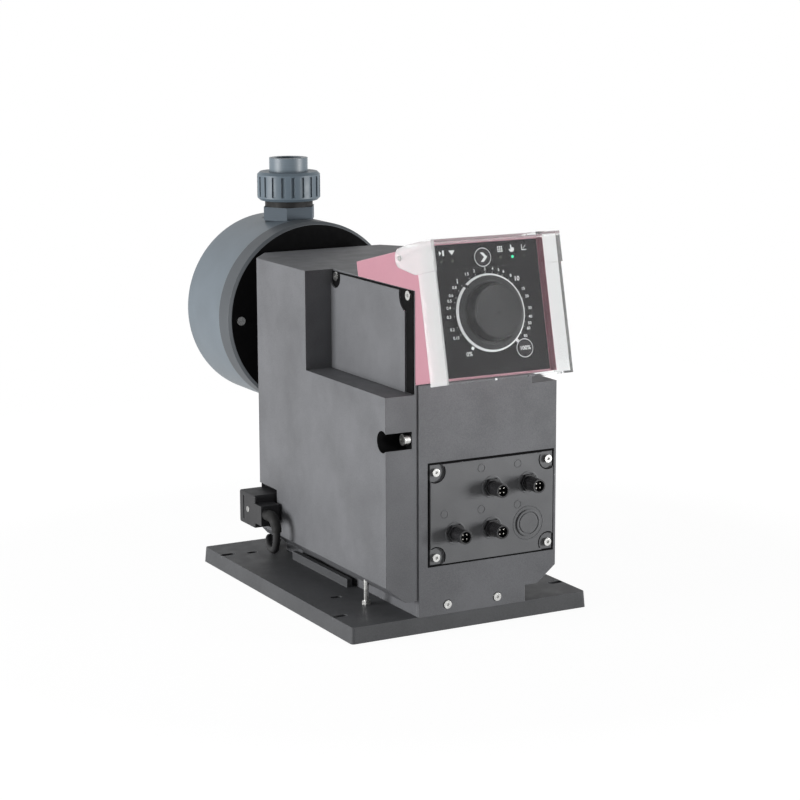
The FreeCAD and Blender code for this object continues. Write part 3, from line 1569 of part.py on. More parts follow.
pieces = {
    "base_plate": base_plate(),
    "foundation_screws": foundation_screws(),
    "support_posts": support_posts(),
    "housing": housing(),
    "front_cover": front_cover(),
    "front_screws": Part.makeCompound([cover_screws(), plate_screws(), pocket_screw()]),
    "side_cover_left": side_cover(-1),
    "side_cover_right": side_cover(1),
    "side_screws": Part.makeCompound([side_screws(-1), side_screws(1)]),
    "connector_plate": connector_plate(),
    "seals": Part.makeCompound([plate_gasket(), valve_seal(1), valve_seal(-1)]),
    "socket_inserts": Part.makeCompound([socket_insert(x, z) for x, z in socket_places()]),
    "socket_pins": Part.makeCompound([pin for x, z in socket_places() for pin in socket_pins(x, z)]),
    "blanking_plug": blanking_plug(),
    "main_board": main_board(),
    "control_frame": control_frame(),
    "control_panel": fascia(),
    "light_guides": light_guides(),
    "control_board": control_board(),
    "dial_knob": dial(),
    "dial_shaft": dial_shaft(),
    "mode_key": key(mode_key_x, mode_key_v),
    "full_key": key(full_key_x, full_key_v),
    "lid": lid(),
    "lid_rod": hinge_rod(),
    "mains_inlet": mains_inlet(),
    "mains_plug": mains_plug(),
    "plug_screw": plug_screw(),
    "strain_relief": strain_relief(),
    "mains_cord": mains_cord(),
    "cord_coil": cord_coil(),
    "far_plug": far_plug(),
    "motor": motor(),
    "motor_pinion": motor_pinion(),
    "crank_wheel": crank_wheel(),
    "crankshaft": crankshaft(),
    "connecting_rod": connecting_rod(),
    "drive_frame": drive_frame(),
    "crank_bearings": crank_bearings(),
    "push_rod": push_rod(),
    "guide_bush": guide_bush(),
    "neck": neck(),
    "rear_flange": rear_flange(),
    "dosing_head": dosing_head(),
    "head_bolts": head_bolts(),
    "diaphragm": diaphragm(),
    "diaphragm_core": diaphragm_core(),
    "discharge_valve": valve_body(1),
    "discharge_nut": union_nut(1),
    "discharge_end": pipe_end(1),
    "discharge_ball": ball(discharge_seat),
    "suction_valve": valve_body(-1),
    "suction_nut": union_nut(-1),
    "suction_end": pipe_end(-1),
    "suction_ball": ball(suction_seat),
    "valve_cages": Part.makeCompound([valve_cage(1), valve_cage(-1)]),
}
for number, (x, z) in enumerate(socket_places(), 1):
    pieces[f"signal_socket_{number}"] = signal_socket(x, z)
for name, shape in pieces.items():
    save(name, shape)
    print(f"{name} {shape.Volume:.0f} mm3, {len(shape.Solids)} solid, valid {shape.isValid()}")
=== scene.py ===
import bmesh
import bpy
import math
from mathutils import Matrix, Vector


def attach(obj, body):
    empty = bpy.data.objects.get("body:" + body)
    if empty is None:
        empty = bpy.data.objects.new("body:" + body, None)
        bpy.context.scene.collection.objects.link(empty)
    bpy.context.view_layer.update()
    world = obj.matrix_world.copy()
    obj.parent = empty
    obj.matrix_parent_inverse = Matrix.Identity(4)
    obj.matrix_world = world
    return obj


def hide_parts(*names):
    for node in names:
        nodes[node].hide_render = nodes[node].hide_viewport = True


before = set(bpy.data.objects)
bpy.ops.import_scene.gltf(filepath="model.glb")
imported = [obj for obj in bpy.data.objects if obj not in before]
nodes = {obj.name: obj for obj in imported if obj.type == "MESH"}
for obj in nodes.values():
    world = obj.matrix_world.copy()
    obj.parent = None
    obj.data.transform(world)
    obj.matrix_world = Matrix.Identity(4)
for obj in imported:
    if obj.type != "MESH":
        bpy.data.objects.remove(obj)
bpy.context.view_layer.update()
scene = bpy.context.scene
MM = 0.001


# Camera, at the photograph's angle

EYE = Vector((-0.9294, -1.7420, 0.5555))
TARGET = Vector((-0.00841, -0.03999, 0.17681))
ROLL = math.radians(-0.22)


def place_camera():
    """Look from EYE to TARGET through a long lens, with the photograph's small roll."""
    ahead = (TARGET - EYE).normalized()
    right = ahead.cross(Vector((0, 0, 1))).normalized()
    up = right.cross(ahead)
    side = right * math.cos(ROLL) + up * math.sin(ROLL)
    top = up * math.cos(ROLL) - right * math.sin(ROLL)
    data = bpy.data.cameras.new("camera")
    data.lens = 101.33
    data.sensor_width = 36
    data.clip_start = 0.05
    data.clip_end = 50
    camera = bpy.data.objects.new("camera", data)
    scene.collection.objects.link(camera)
    camera.matrix_world = Matrix((
        (side.x, top.x, -ahead.x, EYE.x),
        (side.y, top.y, -ahead.y, EYE.y),
        (side.z, top.z, -ahead.z, EYE.z),
        (0, 0, 0, 1)))
    scene.camera = camera


place_camera()


# The mains lead: the same route as the frame's tube, then the turns of its coil

CORD_DIAMETER = 6.8 * MM
COIL_CENTRE = (80.0, 216.0)
COIL_TURNS = ((40.4, 3.4), (33.6, 3.4), (33.6, 10.2), (40.4, 10.2), (40.4, 17.0))
POINTS_A_TURN = 16
STEP_START = 0.72
LEAD_END = 27.0

lead_route = [
    (-97.0, 29.0, 53.3),
    (-97.0, 29.0, 35.0),
    (-97.0, 45.5, 35.0),
    (-89.0, 62.0, 43.0),
    (-75.0, 84.0, 24.0),
    (-62.0, 110.0, 17.8),
    (-47.0, 130.0, 19.0),
    (-29.0, 152.0, 27.0),
    (-11.0, 172.0, 15.0),
    (15.0, 177.0, 4.2),
    (42.0, 175.6, 3.4),
    (55.0, 175.6, 3.4),
]


def coil_points():
    """The coil's turns; the last part of each one steps softly to the next turn's radius and height."""
    points = []
    x, y = COIL_CENTRE
    for turn, (radius, height) in enumerate(COIL_TURNS):
        next_radius, next_height = COIL_TURNS[min(turn + 1, len(COIL_TURNS) - 1)]
        for step in range(POINTS_A_TURN):
            share = step / POINTS_A_TURN
            blend = max((share - STEP_START) / (1 - STEP_START), 0)
            blend = blend * blend * (3 - 2 * blend)
            angle = math.radians(-90 + 360 * share)
            r = (radius + (next_radius - radius) * blend) / math.cos(math.pi / POINTS_A_TURN)
            z = height + (next_height - height) * blend
            points.append((x + r * math.cos(angle), y + r * math.sin(angle), z))
    last_radius, last_height = COIL_TURNS[-1]
    points.append((x, y - last_radius, last_height))
    points.append((x + LEAD_END, y - last_radius, last_height))
    return points


def make_lead():
    """One round cord from the mains plug to the far plug."""
    points = lead_route + coil_points()
    data = bpy.data.curves.new("mains_lead", "CURVE")
    data.dimensions = "3D"
    data.bevel_depth = CORD_DIAMETER / 2
    data.bevel_resolution = 6
    data.resolution_u = 8
    data.use_fill_caps = True
    spline = data.splines.new("NURBS")
    spline.points.add(len(points) - 1)
    for point, (x, y, z) in zip(spline.points, points):
        point.co = (x * MM, y * MM, z * MM, 1)
    spline.order_u = 3
    spline.use_endpoint_u = True
    lead = bpy.data.objects.new("mains_lead", data)
    scene.collection.objects.link(lead)
    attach(lead, "pump")
    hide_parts("mains_cord", "cord_coil")
    return lead


lead = make_lead()


# Materials. Colours are sRGB hex; pattern sizes are real sizes in millimetres.

def srgb(code, share=1.0):
    """Linear colour of an sRGB hex value, made darker or lighter by share."""
    values = [int(code[k:k + 2], 16) / 255 for k in (1, 3, 5)]
    linear = [v / 12.92 if v <= 0.04045 else ((v + 0.055) / 1.055) ** 2.4 for v in values]
    return tuple(min(v * share, 1) for v in linear) + (1,)


def add(tree, kind, settings=(), sockets=()):
    """Add one node: settings are its own, sockets take a value or a link, by name or by place."""
    node = tree.nodes.new(kind)
    for key, value in dict(settings).items():
        setattr(node, key, value)
    for key, value in dict(sockets).items():
        if isinstance(value, bpy.types.NodeSocket):
            tree.links.new(value, node.inputs[key])
        else:
            node.inputs[key].default_value = value
    return node


# The two colours of a Mix node enter at places 6 and 7, and their mixture leaves at place 2

def new_material(name):
    """A material with one shader; its pattern is added by the function that asks for it."""
    material = bpy.data.materials.new(name)
    material.use_nodes = True
    tree = material.node_tree
    tree.nodes.clear()
    shader = add(tree, "ShaderNodeBsdfPrincipled")
    add(tree, "ShaderNodeOutputMaterial", {}, {"Surface": shader.outputs["BSDF"]})
    return tree, shader


def rounded_edges(tree, radius):
    """Normal of edges rounded by radius, and a mask that is 1 on those edges."""
    rounded = add(tree, "ShaderNodeBevel", {"samples": 6}, {"Radius": radius * MM}).outputs["Normal"]
    flat = add(tree, "ShaderNodeNewGeometry").outputs["Normal"]
    bend = add(tree, "ShaderNodeVectorMath", {"operation": "DOT_PRODUCT"}, {0: rounded, 1: flat})
    mask = add(tree, "ShaderNodeMapRange", {},
               {"Value": bend.outputs["Value"], "From Min": 1.0, "From Max": 0.75,
                "To Min": 0.0, "To Max": 1.0})
    return rounded, mask.outputs["Result"]


def patchy_roughness(tree, place, patch, detail, rough, span=(0.3, 0.7)):
    """Roughness that wanders between two values over patches of one size."""
    patches = add(tree, "ShaderNodeTexNoise", {},
                  {"Vector": place, "Scale": 1 / (patch * MM), "Detail": detail})
    matt = add(tree, "ShaderNodeMapRange", {},
               {"Value": patches.outputs["Fac"], "From Min": span[0], "From Max": span[1],
                "To Min": rough[0], "To Max": rough[1]})
    return matt.outputs["Result"]


def dented_normal(tree, place, width, detail, depth, under=None):
    """Normal of a skin with small dents of one width and depth, laid over the normal under it."""
    dents = add(tree, "ShaderNodeTexNoise", {},
                {"Vector": place, "Scale": 1 / (width * MM), "Detail": detail})
    bump = add(tree, "ShaderNodeBump", {}, {"Height": dents.outputs["Fac"], "Distance": depth * MM})
    if under is not None:
        tree.links.new(under, bump.inputs["Normal"])
    return bump.outputs["Normal"]


def moulded_plastic(name, colour, edge_highlight_colour, grain=0.6, depth=0.02, rough=(0.5, 0.62), edge=0.8, shade=0.12,
                    gloss=0.35):
    """Grain from the mould, slow changes of tone, smoother edges with a painted highlight in patches."""
    tree, shader = new_material(name)
    place = add(tree, "ShaderNodeTexCoord").outputs["Object"]
    rounded, mask = rounded_edges(tree, edge)
    cloud = add(tree, "ShaderNodeTexNoise", {}, {"Vector": place, "Scale": 1 / (45 * MM), "Detail": 4.0})
    speck = add(tree, "ShaderNodeTexNoise", {},
                {"Vector": place, "Scale": 1 / (1.4 * grain * MM), "Detail": 2.0})
    both = add(tree, "ShaderNodeMath", {"operation": "ADD"},
               {0: cloud.outputs["Fac"], 1: speck.outputs["Fac"]})
    tone = add(tree, "ShaderNodeMapRange", {},
               {"Value": both.outputs["Value"], "From Min": 0.75, "From Max": 1.25})
    body = add(tree, "ShaderNodeMix", {"data_type": "RGBA"},
               {0: tone.outputs["Result"], 6: srgb(colour, 1 - shade), 7: srgb(colour, 1 + shade)})
    patchy = add(tree, "ShaderNodeTexNoise", {}, {"Vector": place, "Scale": 1 / (6 * MM), "Detail": 5.0})
    amount = add(tree, "ShaderNodeMapRange", {},
                 {"Value": patchy.outputs["Fac"], "From Min": 0.3, "From Max": 0.65,
                  "To Min": 0.15, "To Max": 0.8})
    # Painted highlight: the edges' colour is mixed in patches towards the paler colour, for the light they
    # catch
    painted_highlight = add(tree, "ShaderNodeMath", {"operation": "MULTIPLY"}, {0: mask, 1: amount.outputs["Result"]})
    coloured = add(tree, "ShaderNodeMix", {"data_type": "RGBA"},
                   {0: painted_highlight.outputs["Value"], 6: body.outputs[2], 7: srgb(edge_highlight_colour)})
    tree.links.new(coloured.outputs[2], shader.inputs["Base Color"])
    matt = add(tree, "ShaderNodeMath", {"operation": "MULTIPLY_ADD"},
               {0: mask, 1: -0.08, 2: patchy_roughness(tree, place, 14, 3.0, rough)})
    tree.links.new(matt.outputs["Value"], shader.inputs["Roughness"])
    shader.inputs["Specular IOR Level"].default_value = gloss
    grained = dented_normal(tree, place, grain, 2.0, depth, rounded)
    sunken = dented_normal(tree, place, 22, 2.0, 2 * depth, grained)
    tree.links.new(sunken, shader.inputs["Normal"])


def turned_plastic(name, colour, edge_highlight_colour, axis, centre, pitch=0.5, depth=0.006, rough=(0.36, 0.5), gloss=0.5):
    """Fine rings that the lathe's tool left round an axis, and a painted highlight on the sharp edge."""
    tree, shader = new_material(name)
    place = add(tree, "ShaderNodeTexCoord").outputs["Object"]
    rounded, mask = rounded_edges(tree, 0.7)
    centred = add(tree, "ShaderNodeMapping", {}, {"Vector": place, "Location": [-c * MM for c in centre]})
    parts = add(tree, "ShaderNodeSeparateXYZ", {}, {0: centred.outputs["Vector"]})
    across = [parts.outputs[letter] for letter in "XYZ" if letter != axis]
    flat = add(tree, "ShaderNodeCombineXYZ", {}, {0: across[0], 1: across[1]})
    reach = add(tree, "ShaderNodeVectorMath", {"operation": "LENGTH"}, {0: flat.outputs["Vector"]})
    travel = add(tree, "ShaderNodeMath", {"operation": "ADD"},
                 {0: reach.outputs["Value"], 1: parts.outputs[axis]})
    lines = add(tree, "ShaderNodeTexNoise", {"noise_dimensions": "1D"},
                {"W": travel.outputs["Value"], "Scale": 1 / (pitch * MM), "Detail": 3.0})
    cloud = add(tree, "ShaderNodeTexNoise", {}, {"Vector": place, "Scale": 1 / (30 * MM), "Detail": 4.0})
    both = add(tree, "ShaderNodeMath", {"operation": "ADD"},
               {0: lines.outputs["Fac"], 1: cloud.outputs["Fac"]})
    tone = add(tree, "ShaderNodeMapRange", {},
               {"Value": both.outputs["Value"], "From Min": 0.7, "From Max": 1.3})
    body = add(tree, "ShaderNodeMix", {"data_type": "RGBA"},
               {0: tone.outputs["Result"], 6: srgb(colour, 0.9), 7: srgb(colour, 1.1)})
    # Painted highlight: the edges are mixed towards the paler colour
    painted_highlight = add(tree, "ShaderNodeMath", {"operation": "MULTIPLY"}, {0: mask, 1: 0.6})
    coloured = add(tree, "ShaderNodeMix", {"data_type": "RGBA"},
                   {0: painted_highlight.outputs["Value"], 6: body.outputs[2], 7: srgb(edge_highlight_colour)})
    tree.links.new(coloured.outputs[2], shader.inputs["Base Color"])
    matt = add(tree, "ShaderNodeMapRange", {},
               {"Value": lines.outputs["Fac"], "From Min": 0.3, "From Max": 0.7,
                "To Min": rough[0], "To Max": rough[1]})
    tree.links.new(matt.outputs["Result"], shader.inputs["Roughness"])
    shader.inputs["Specular IOR Level"].default_value = gloss
    cut = add(tree, "ShaderNodeBump", {},
              {"Height": lines.outputs["Fac"], "Distance": depth * MM, "Normal": rounded})
    tree.links.new(cut.outputs["Normal"], shader.inputs["Normal"])


def bright_metal(name, colour, rough=(0.22, 0.4), grain=0.25, depth=0.003):
    """Fine marks of making and a little tarnish in patches, on an edge broken by a tenth or two."""
    tree, shader = new_material(name)
    place = add(tree, "ShaderNodeTexCoord").outputs["Object"]
    rounded, mask = rounded_edges(tree, 0.15)
    patches = add(tree, "ShaderNodeTexNoise", {}, {"Vector": place, "Scale": 1 / (2.5 * MM), "Detail": 5.0})
    tarnish = add(tree, "ShaderNodeMapRange", {},
                  {"Value": patches.outputs["Fac"], "From Min": 0.35, "From Max": 0.7})
    hazy = add(tree, "ShaderNodeMath", {"operation": "SUBTRACT", "use_clamp": True},
               {0: tarnish.outputs["Result"], 1: mask})
    coloured = add(tree, "ShaderNodeMix", {"data_type": "RGBA"},
                   {0: hazy.outputs["Value"], 6: srgb(colour), 7: srgb(colour, 0.72)})
    tree.links.new(coloured.outputs[2], shader.inputs["Base Color"])
    shader.inputs["Metallic"].default_value = 1.0
    tree.links.new(patchy_roughness(tree, place, 1.2, 4.0, rough), shader.inputs["Roughness"])
    tree.links.new(dented_normal(tree, place, grain, 3.0, depth, rounded), shader.inputs["Normal"])


def soft_rubber(name, colour, rough=(0.6, 0.78), grain=0.4, depth=0.015, gloss=0.3):
    """A dull skin with a pale bloom in patches."""
    tree, shader = new_material(name)
    place = add(tree, "ShaderNodeTexCoord").outputs["Object"]
    patches = add(tree, "ShaderNodeTexNoise", {}, {"Vector": place, "Scale": 1 / (9 * MM), "Detail": 5.0})
    bloom = add(tree, "ShaderNodeMapRange", {},
                {"Value": patches.outputs["Fac"], "From Min": 0.4, "From Max": 0.75, "To Max": 0.7})
    coloured = add(tree, "ShaderNodeMix", {"data_type": "RGBA"},
                   {0: bloom.outputs["Result"], 6: srgb(colour), 7: srgb(colour, 1.9)})
    tree.links.new(coloured.outputs[2], shader.inputs["Base Color"])
    tree.links.new(patchy_roughness(tree, place, 5, 4.0, rough), shader.inputs["Roughness"])
    shader.inputs["Specular IOR Level"].default_value = gloss
    tree.links.new(dented_normal(tree, place, grain, 3.0, depth), shader.inputs["Normal"])


LID_WALL = (57.3, 57.7)


def clear_plastic(name, colour, milk, left_haze_and_glow=0.0, right_haze_and_glow=0.0, ior=1.5):
    """Light passes with a faint haze; two values cloud the lid's walls at the panel's sides, the left one
    more as painted light.
    """
    tree, shader = new_material(name)
    place = add(tree, "ShaderNodeTexCoord").outputs["Object"]
    rounded, mask = rounded_edges(tree, 0.9)
    rim = add(tree, "ShaderNodeMath", {"operation": "MULTIPLY"}, {0: mask, 1: 0.8})
    tinted = add(tree, "ShaderNodeMix", {"data_type": "RGBA"},
                 {0: rim.outputs["Value"], 6: srgb(colour), 7: srgb(colour, 0.7)})
    tree.links.new(tinted.outputs[2], shader.inputs["Base Color"])
    shader.inputs["IOR"].default_value = ior
    smeared = patchy_roughness(tree, place, 26, 5.0, (0.02, 0.06), span=(0.45, 0.75))
    tree.links.new(smeared, shader.inputs["Roughness"])
    parts = add(tree, "ShaderNodeSeparateXYZ", {}, {0: place})
    outwards = add(tree, "ShaderNodeMath", {"operation": "ABSOLUTE"}, {0: parts.outputs["X"]})
    wall = add(tree, "ShaderNodeMapRange", {},
               {"Value": outwards.outputs["Value"], "From Min": LID_WALL[0] * MM,
                "From Max": LID_WALL[1] * MM})
    cloud = add(tree, "ShaderNodeMapRange", {},
                {"Value": parts.outputs["X"], "From Min": -1 * MM, "From Max": 1 * MM,
                 "To Min": -left_haze_and_glow, "To Max": -right_haze_and_glow})
    clarity = add(tree, "ShaderNodeMath", {"operation": "MULTIPLY_ADD"},
                  {0: wall.outputs["Result"], 1: cloud.outputs["Result"], 2: 1.0 - milk})
    tree.links.new(clarity.outputs["Value"], shader.inputs["Transmission Weight"])
    tree.links.new(dented_normal(tree, place, 40, 1.0, 0.02), shader.inputs["Normal"])


def board_lacquer(name, colour):
    """Copper tracks that stand out faintly under green lacquer."""
    tree, shader = new_material(name)
    place = add(tree, "ShaderNodeTexCoord").outputs["Object"]
    cells = add(tree, "ShaderNodeTexVoronoi", {"feature": "DISTANCE_TO_EDGE"},
                {"Vector": place, "Scale": 1 / (4 * MM)})
    track = add(tree, "ShaderNodeMapRange", {},
                {"Value": cells.outputs["Distance"], "From Min": 0.03, "From Max": 0.07,
                 "To Min": 1.0, "To Max": 0.0})
    coloured = add(tree, "ShaderNodeMix", {"data_type": "RGBA"},
                   {0: track.outputs["Result"], 6: srgb(colour), 7: srgb(colour, 1.7)})
    tree.links.new(coloured.outputs[2], shader.inputs["Base Color"])
    tree.links.new(patchy_roughness(tree, place, 5, 3.0, (0.25, 0.4)), shader.inputs["Roughness"])
    raised = add(tree, "ShaderNodeBump", {}, {"Height": track.outputs["Result"], "Distance": 0.03 * MM})
    tree.links.new(raised.outputs["Normal"], shader.inputs["Normal"])


def screen_ink(name, colour):
    """Dry ink whose cover thins a little between the mesh's threads, 0.7 mm here so that it shows."""
    tree, shader = new_material(name)
    place = add(tree, "ShaderNodeTexCoord").outputs["Object"]
    mesh = add(tree, "ShaderNodeTexNoise", {}, {"Vector": place, "Scale": 1 / (0.7 * MM), "Detail": 4.0})
    cover = add(tree, "ShaderNodeMapRange", {},
                {"Value": mesh.outputs["Fac"], "From Min": 0.45, "From Max": 0.7})
    coloured = add(tree, "ShaderNodeMix", {"data_type": "RGBA"},
                   {0: cover.outputs["Result"], 6: srgb(colour), 7: srgb(colour, 0.82)})
    tree.links.new(coloured.outputs[2], shader.inputs["Base Color"])
    dry = add(tree, "ShaderNodeMapRange", {},
              {"Value": mesh.outputs["Fac"], "From Min": 0.3, "From Max": 0.7, "To Min": 0.45, "To Max": 0.6})
    tree.links.new(dry.outputs["Result"], shader.inputs["Roughness"])
    film = add(tree, "ShaderNodeBump", {}, {"Height": mesh.outputs["Fac"], "Distance": 0.004 * MM})
    tree.links.new(film.outputs["Normal"], shader.inputs["Normal"])


def lit_lens(name, colour, strength):
    """A small lens that glows, palest in its middle."""
    tree, shader = new_material(name)
    shader.inputs["Base Color"].default_value = srgb(colour)
    shader.inputs["Roughness"].default_value = 0.2
    shader.inputs["Emission Strength"].default_value = strength
    facing = add(tree, "ShaderNodeLayerWeight", {}, {"Blend": 0.4})
    glow = add(tree, "ShaderNodeMix", {"data_type": "RGBA"},
               {0: facing.outputs["Facing"], 6: srgb(colour, 1.9), 7: srgb(colour)})
    tree.links.new(glow.outputs[2], shader.inputs["Emission Color"])


STROKE_AXIS = (0, 0, 226.6)
VALVE_AXIS = (0, 197, 0)

# Filled PPE from spark-eroded moulds: an even matt grain, drawn at 0.5 to 0.9 mm so that it shows
moulded_plastic("grained_housing_ppe", "#67686B", "#8F9093", shade=0.17, gloss=0.28)
# The base plate's grey is darker than the housing's, partly as painted shade for the shadow on its top
moulded_plastic("grained_base_ppe", "#4F5052", "#8A8B8E", grain=0.9, gloss=0.25)
moulded_plastic("grained_plate_ppe", "#626365", "#8C8D90", grain=0.5)
# Polyamide from a polished mould: near black, with a soft sheen along its edges
moulded_plastic("satin_black_polyamide", "#1F1F21", "#55565A", grain=0.5, rough=(0.42, 0.55))
# Glass-filled polyamide, moulded with a fine thread: black, with edges that catch the light
moulded_plastic("moulded_socket_polyamide", "#242426", "#6C6C70", grain=0.3, depth=0.006, rough=(0.3, 0.42),
                edge=0.4)
# Coloured ABS from a polished mould: an even satin red-pink, with a wide painted highlight along its edges
moulded_plastic("satin_pink_abs", "#B7828F", "#EBC3CD", grain=0.35, depth=0.006, rough=(0.36, 0.46), edge=1.6,
                shade=0.05)
# Black ABS knob, moulded: smooth, with a broad soft highlight
moulded_plastic("smooth_black_abs", "#252527", "#5A5A5E", grain=0.3, depth=0.006, rough=(0.34, 0.44),
                edge=0.6)
# Polyester film printed black from behind: flat, dark and a little glossy
moulded_plastic("printed_black_polyester", "#0F0D11", "#3A3638", grain=0.15, depth=0.003, rough=(0.3, 0.38),
                edge=0.3, shade=0.08, gloss=0.15)
# Painted shade for the frame's inner wall beside the panel: even and dark red, a little glossier than the
# black film
moulded_plastic("painted_shade_red", "#55202F", "#7A4453", grain=0.15, depth=0.003, rough=(0.28, 0.36),
                edge=0.2, shade=0.04)
# Acetal gear, moulded: waxy white
moulded_plastic("moulded_white_acetal", "#E6E2D6", "#F4F1E8", grain=0.4, depth=0.005, shade=0.04)
# Stoved paint on the motor: smooth and dark with a little orange peel
moulded_plastic("stoved_motor_paint", "#2C3036", "#5B6068", grain=0.3, depth=0.004, rough=(0.3, 0.42))
# PVC union nut, moulded: smooth between its ribs
moulded_plastic("moulded_nut_pvc", "#5F6C76", "#8E9AA2", grain=0.3, depth=0.006, rough=(0.38, 0.5), edge=0.6,
                shade=0.06)
# Alumina balls, ground and polished: hard white gloss
moulded_plastic("polished_alumina", "#EDEBE4", "#FFFFFF", grain=0.2, depth=0.001, rough=(0.12, 0.18),
                shade=0.03)
# Silicone keys and EPDM seals, moulded: dull dark skins
soft_rubber("moulded_key_silicone", "#232023")
soft_rubber("moulded_epdm_seal", "#141414")
# Painted shade: a deep black that throws almost no light back, laid in gaps, scoops and pockets
soft_rubber("painted_shade_black", "#0B0B0C", rough=(0.8, 0.9), gloss=0.08)
# PVC jacket, extruded: black, a little shinier than the rubber
soft_rubber("extruded_jacket_pvc", "#131314", rough=(0.45, 0.6))
# Acrylic light guides, moulded: cloudy where the light leaves them
clear_plastic("moulded_milky_acrylic", "#5D6258", milk=0.6)
# Polycarbonate lid, moulded: clear in front; its side walls clouded white, the left one most, as painted
# light for the light in them
clear_plastic("moulded_clear_polycarbonate", "#FAFBFB", milk=0.01, left_haze_and_glow=0.42, right_haze_and_glow=0.1, ior=1.25)
# Steel, turned and zinc plated: bright, with a thin haze in patches
bright_metal("zinc_plated_steel", "#C4C4C2")
# Steel from a phosphate bath: the dull grey of plain machine screws
bright_metal("phosphated_steel", "#6F6F6E", rough=(0.4, 0.55))
# Brass contacts, tinned: pale and bright
bright_metal("tinned_brass", "#C9C7C1", rough=(0.2, 0.32))
# Sintered bronze and sand-cast aluminium: open grain that blurs every reflection
bright_metal("sintered_bronze", "#A87C4A", rough=(0.4, 0.55), depth=0.01)
bright_metal("sand_cast_aluminium", "#A6A8AA", rough=(0.45, 0.6), grain=0.6, depth=0.02)
# Glass-fibre board under solder lacquer: deep green with its tracks showing through
board_lacquer("lacquered_board", "#1F5A36")
# Rigid PVC turned on the lathe: blue-grey with rings that show in the highlight
turned_plastic("turned_head_pvc", "#626C74", "#9AA4AB", "Y", STROKE_AXIS)
turned_plastic("turned_valve_pvc", "#66727B", "#98A4AC", "Z", VALVE_AXIS, pitch=0.8)
# Rigid PVC rough-turned for the valve bodies: duller and darker than their finished ends
turned_plastic("rough_turned_pvc", "#545D65", "#98A4AC", "Z", VALVE_AXIS, pitch=0.8, rough=(0.55, 0.65),
               gloss=0.12)
# Flange turned from bar, dark grey: a thin painted highlight on its rim; painted shade lies black over its
# face
turned_plastic("turned_dark_pvc", "#4C5054", "#A9ACAF", "Y", STROKE_AXIS, rough=(0.45, 0.58), gloss=0.3)
# White screen-printing ink, dried: chalky, thinner between the threads of the screen
screen_ink("white_screen_ink", "#E9EAEA")
# Green acrylic lens with its lamp on: brightest where it faces the eye
lit_lens("lit_green_acrylic", "#27A878", 0.9)

dressing = {
    "grained_housing_ppe": ["housing", "front_cover", "side_cover_left", "side_cover_right"],
    "grained_base_ppe": ["base_plate"],
    "grained_plate_ppe": ["connector_plate", "blanking_plug"],
    "satin_black_polyamide": ["socket_inserts", "mains_inlet", "mains_plug"],
    "moulded_socket_polyamide": ["signal_socket_1", "signal_socket_2", "signal_socket_3", "signal_socket_4"],
    "satin_pink_abs": ["control_frame"],
    "smooth_black_abs": ["dial_knob"],
    "printed_black_polyester": ["control_panel"],
    "moulded_white_acetal": ["crank_wheel"],
    "stoved_motor_paint": ["motor"],
    "moulded_nut_pvc": ["discharge_nut", "suction_nut"],
    "polished_alumina": ["discharge_ball", "suction_ball"],
    "moulded_key_silicone": ["mode_key", "full_key"],
    "moulded_epdm_seal": ["seals", "strain_relief", "diaphragm"],
    "extruded_jacket_pvc": ["far_plug"],
    "moulded_milky_acrylic": ["light_guides"],
    "moulded_clear_polycarbonate": ["lid"],
    "zinc_plated_steel": ["support_posts", "front_screws", "side_screws", "dial_shaft", "lid_rod",
                          "plug_screw", "motor_pinion", "crankshaft", "push_rod", "head_bolts",
                          "diaphragm_core"],
    "phosphated_steel": ["foundation_screws"],
    "tinned_brass": ["socket_pins"],
    "sintered_bronze": ["crank_bearings", "guide_bush"],
    "sand_cast_aluminium": ["connecting_rod", "drive_frame"],
    "lacquered_board": ["main_board", "control_board"],
    "turned_head_pvc": ["dosing_head"],
    "turned_valve_pvc": ["discharge_end", "suction_end", "valve_cages"],
    "rough_turned_pvc": ["discharge_valve", "suction_valve"],
    "turned_dark_pvc": ["rear_flange", "neck"],
}


def dress(piece, look):
    """Give a piece one finish, by its name."""
    piece.data.materials.clear()
    piece.data.materials.append(bpy.data.materials[look])


for look, names in dressing.items():
    for name in names:
        dress(nodes[name], look)
dress(lead, "extruded_jacket_pvc")


# Pieces of print, trim and painted shade: made from corners and sections in millimetres, then given to a body

def new_piece(name, mesh, body, look):
    """A piece of the scene that rides on a body and its finish."""
    piece = bpy.data.objects.new(name, mesh)
    scene.collection.objects.link(piece)
    dress(piece, look)
    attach(piece, body)
    return piece


def mesh_from(name, bm):
    """A finished mesh whose faces all point outwards."""
    mesh = bpy.data.meshes.new(name)
    bmesh.ops.recalc_face_normals(bm, faces=bm.faces[:])
    bm.normal_update()
    bm.to_mesh(mesh)
    bm.free()
    return mesh


def add_prism(bm, low, high):
    """A closed solid between two outlines with as many corners as each other."""
    bm.faces.new(high)
    bm.faces.new(low[::-1])
    for k in range(len(low)):
        j = (k + 1) % len(low)
        bm.faces.new((low[k], low[j], high[j], high[k]))


def section_rows(bm, matrix, section, start, end, steps):
    """A section of radii and heights, carried round the matrix's Z from start to end degrees, as rows."""
    count = steps if end - start == 360 else steps + 1
    rows = []
    for k in range(count):
        angle = math.radians(start + (end - start) * k / steps)
        rows.append([bm.verts.new(matrix @ (Vector((r * math.cos(angle), r * math.sin(angle), h)) * MM))
                     for r, h in section])
    return rows


def add_band(bm, rows, ring=False):
    """A skin over rows of a closed section, joined into a ring or capped at both ends."""
    following = rows[1:] + rows[:1] if ring else rows[1:]
    for a, b in zip(rows, following):
        for k in range(len(a)):
            j = (k + 1) % len(a)
            bm.faces.new((a[k], b[k], b[j], a[j]))
    if not ring:
        bm.faces.new(rows[0])
        bm.faces.new(rows[-1][::-1])


# Patterns that repeat or follow a rule, grown by Geometry Nodes; a tree's own sizes are in metres

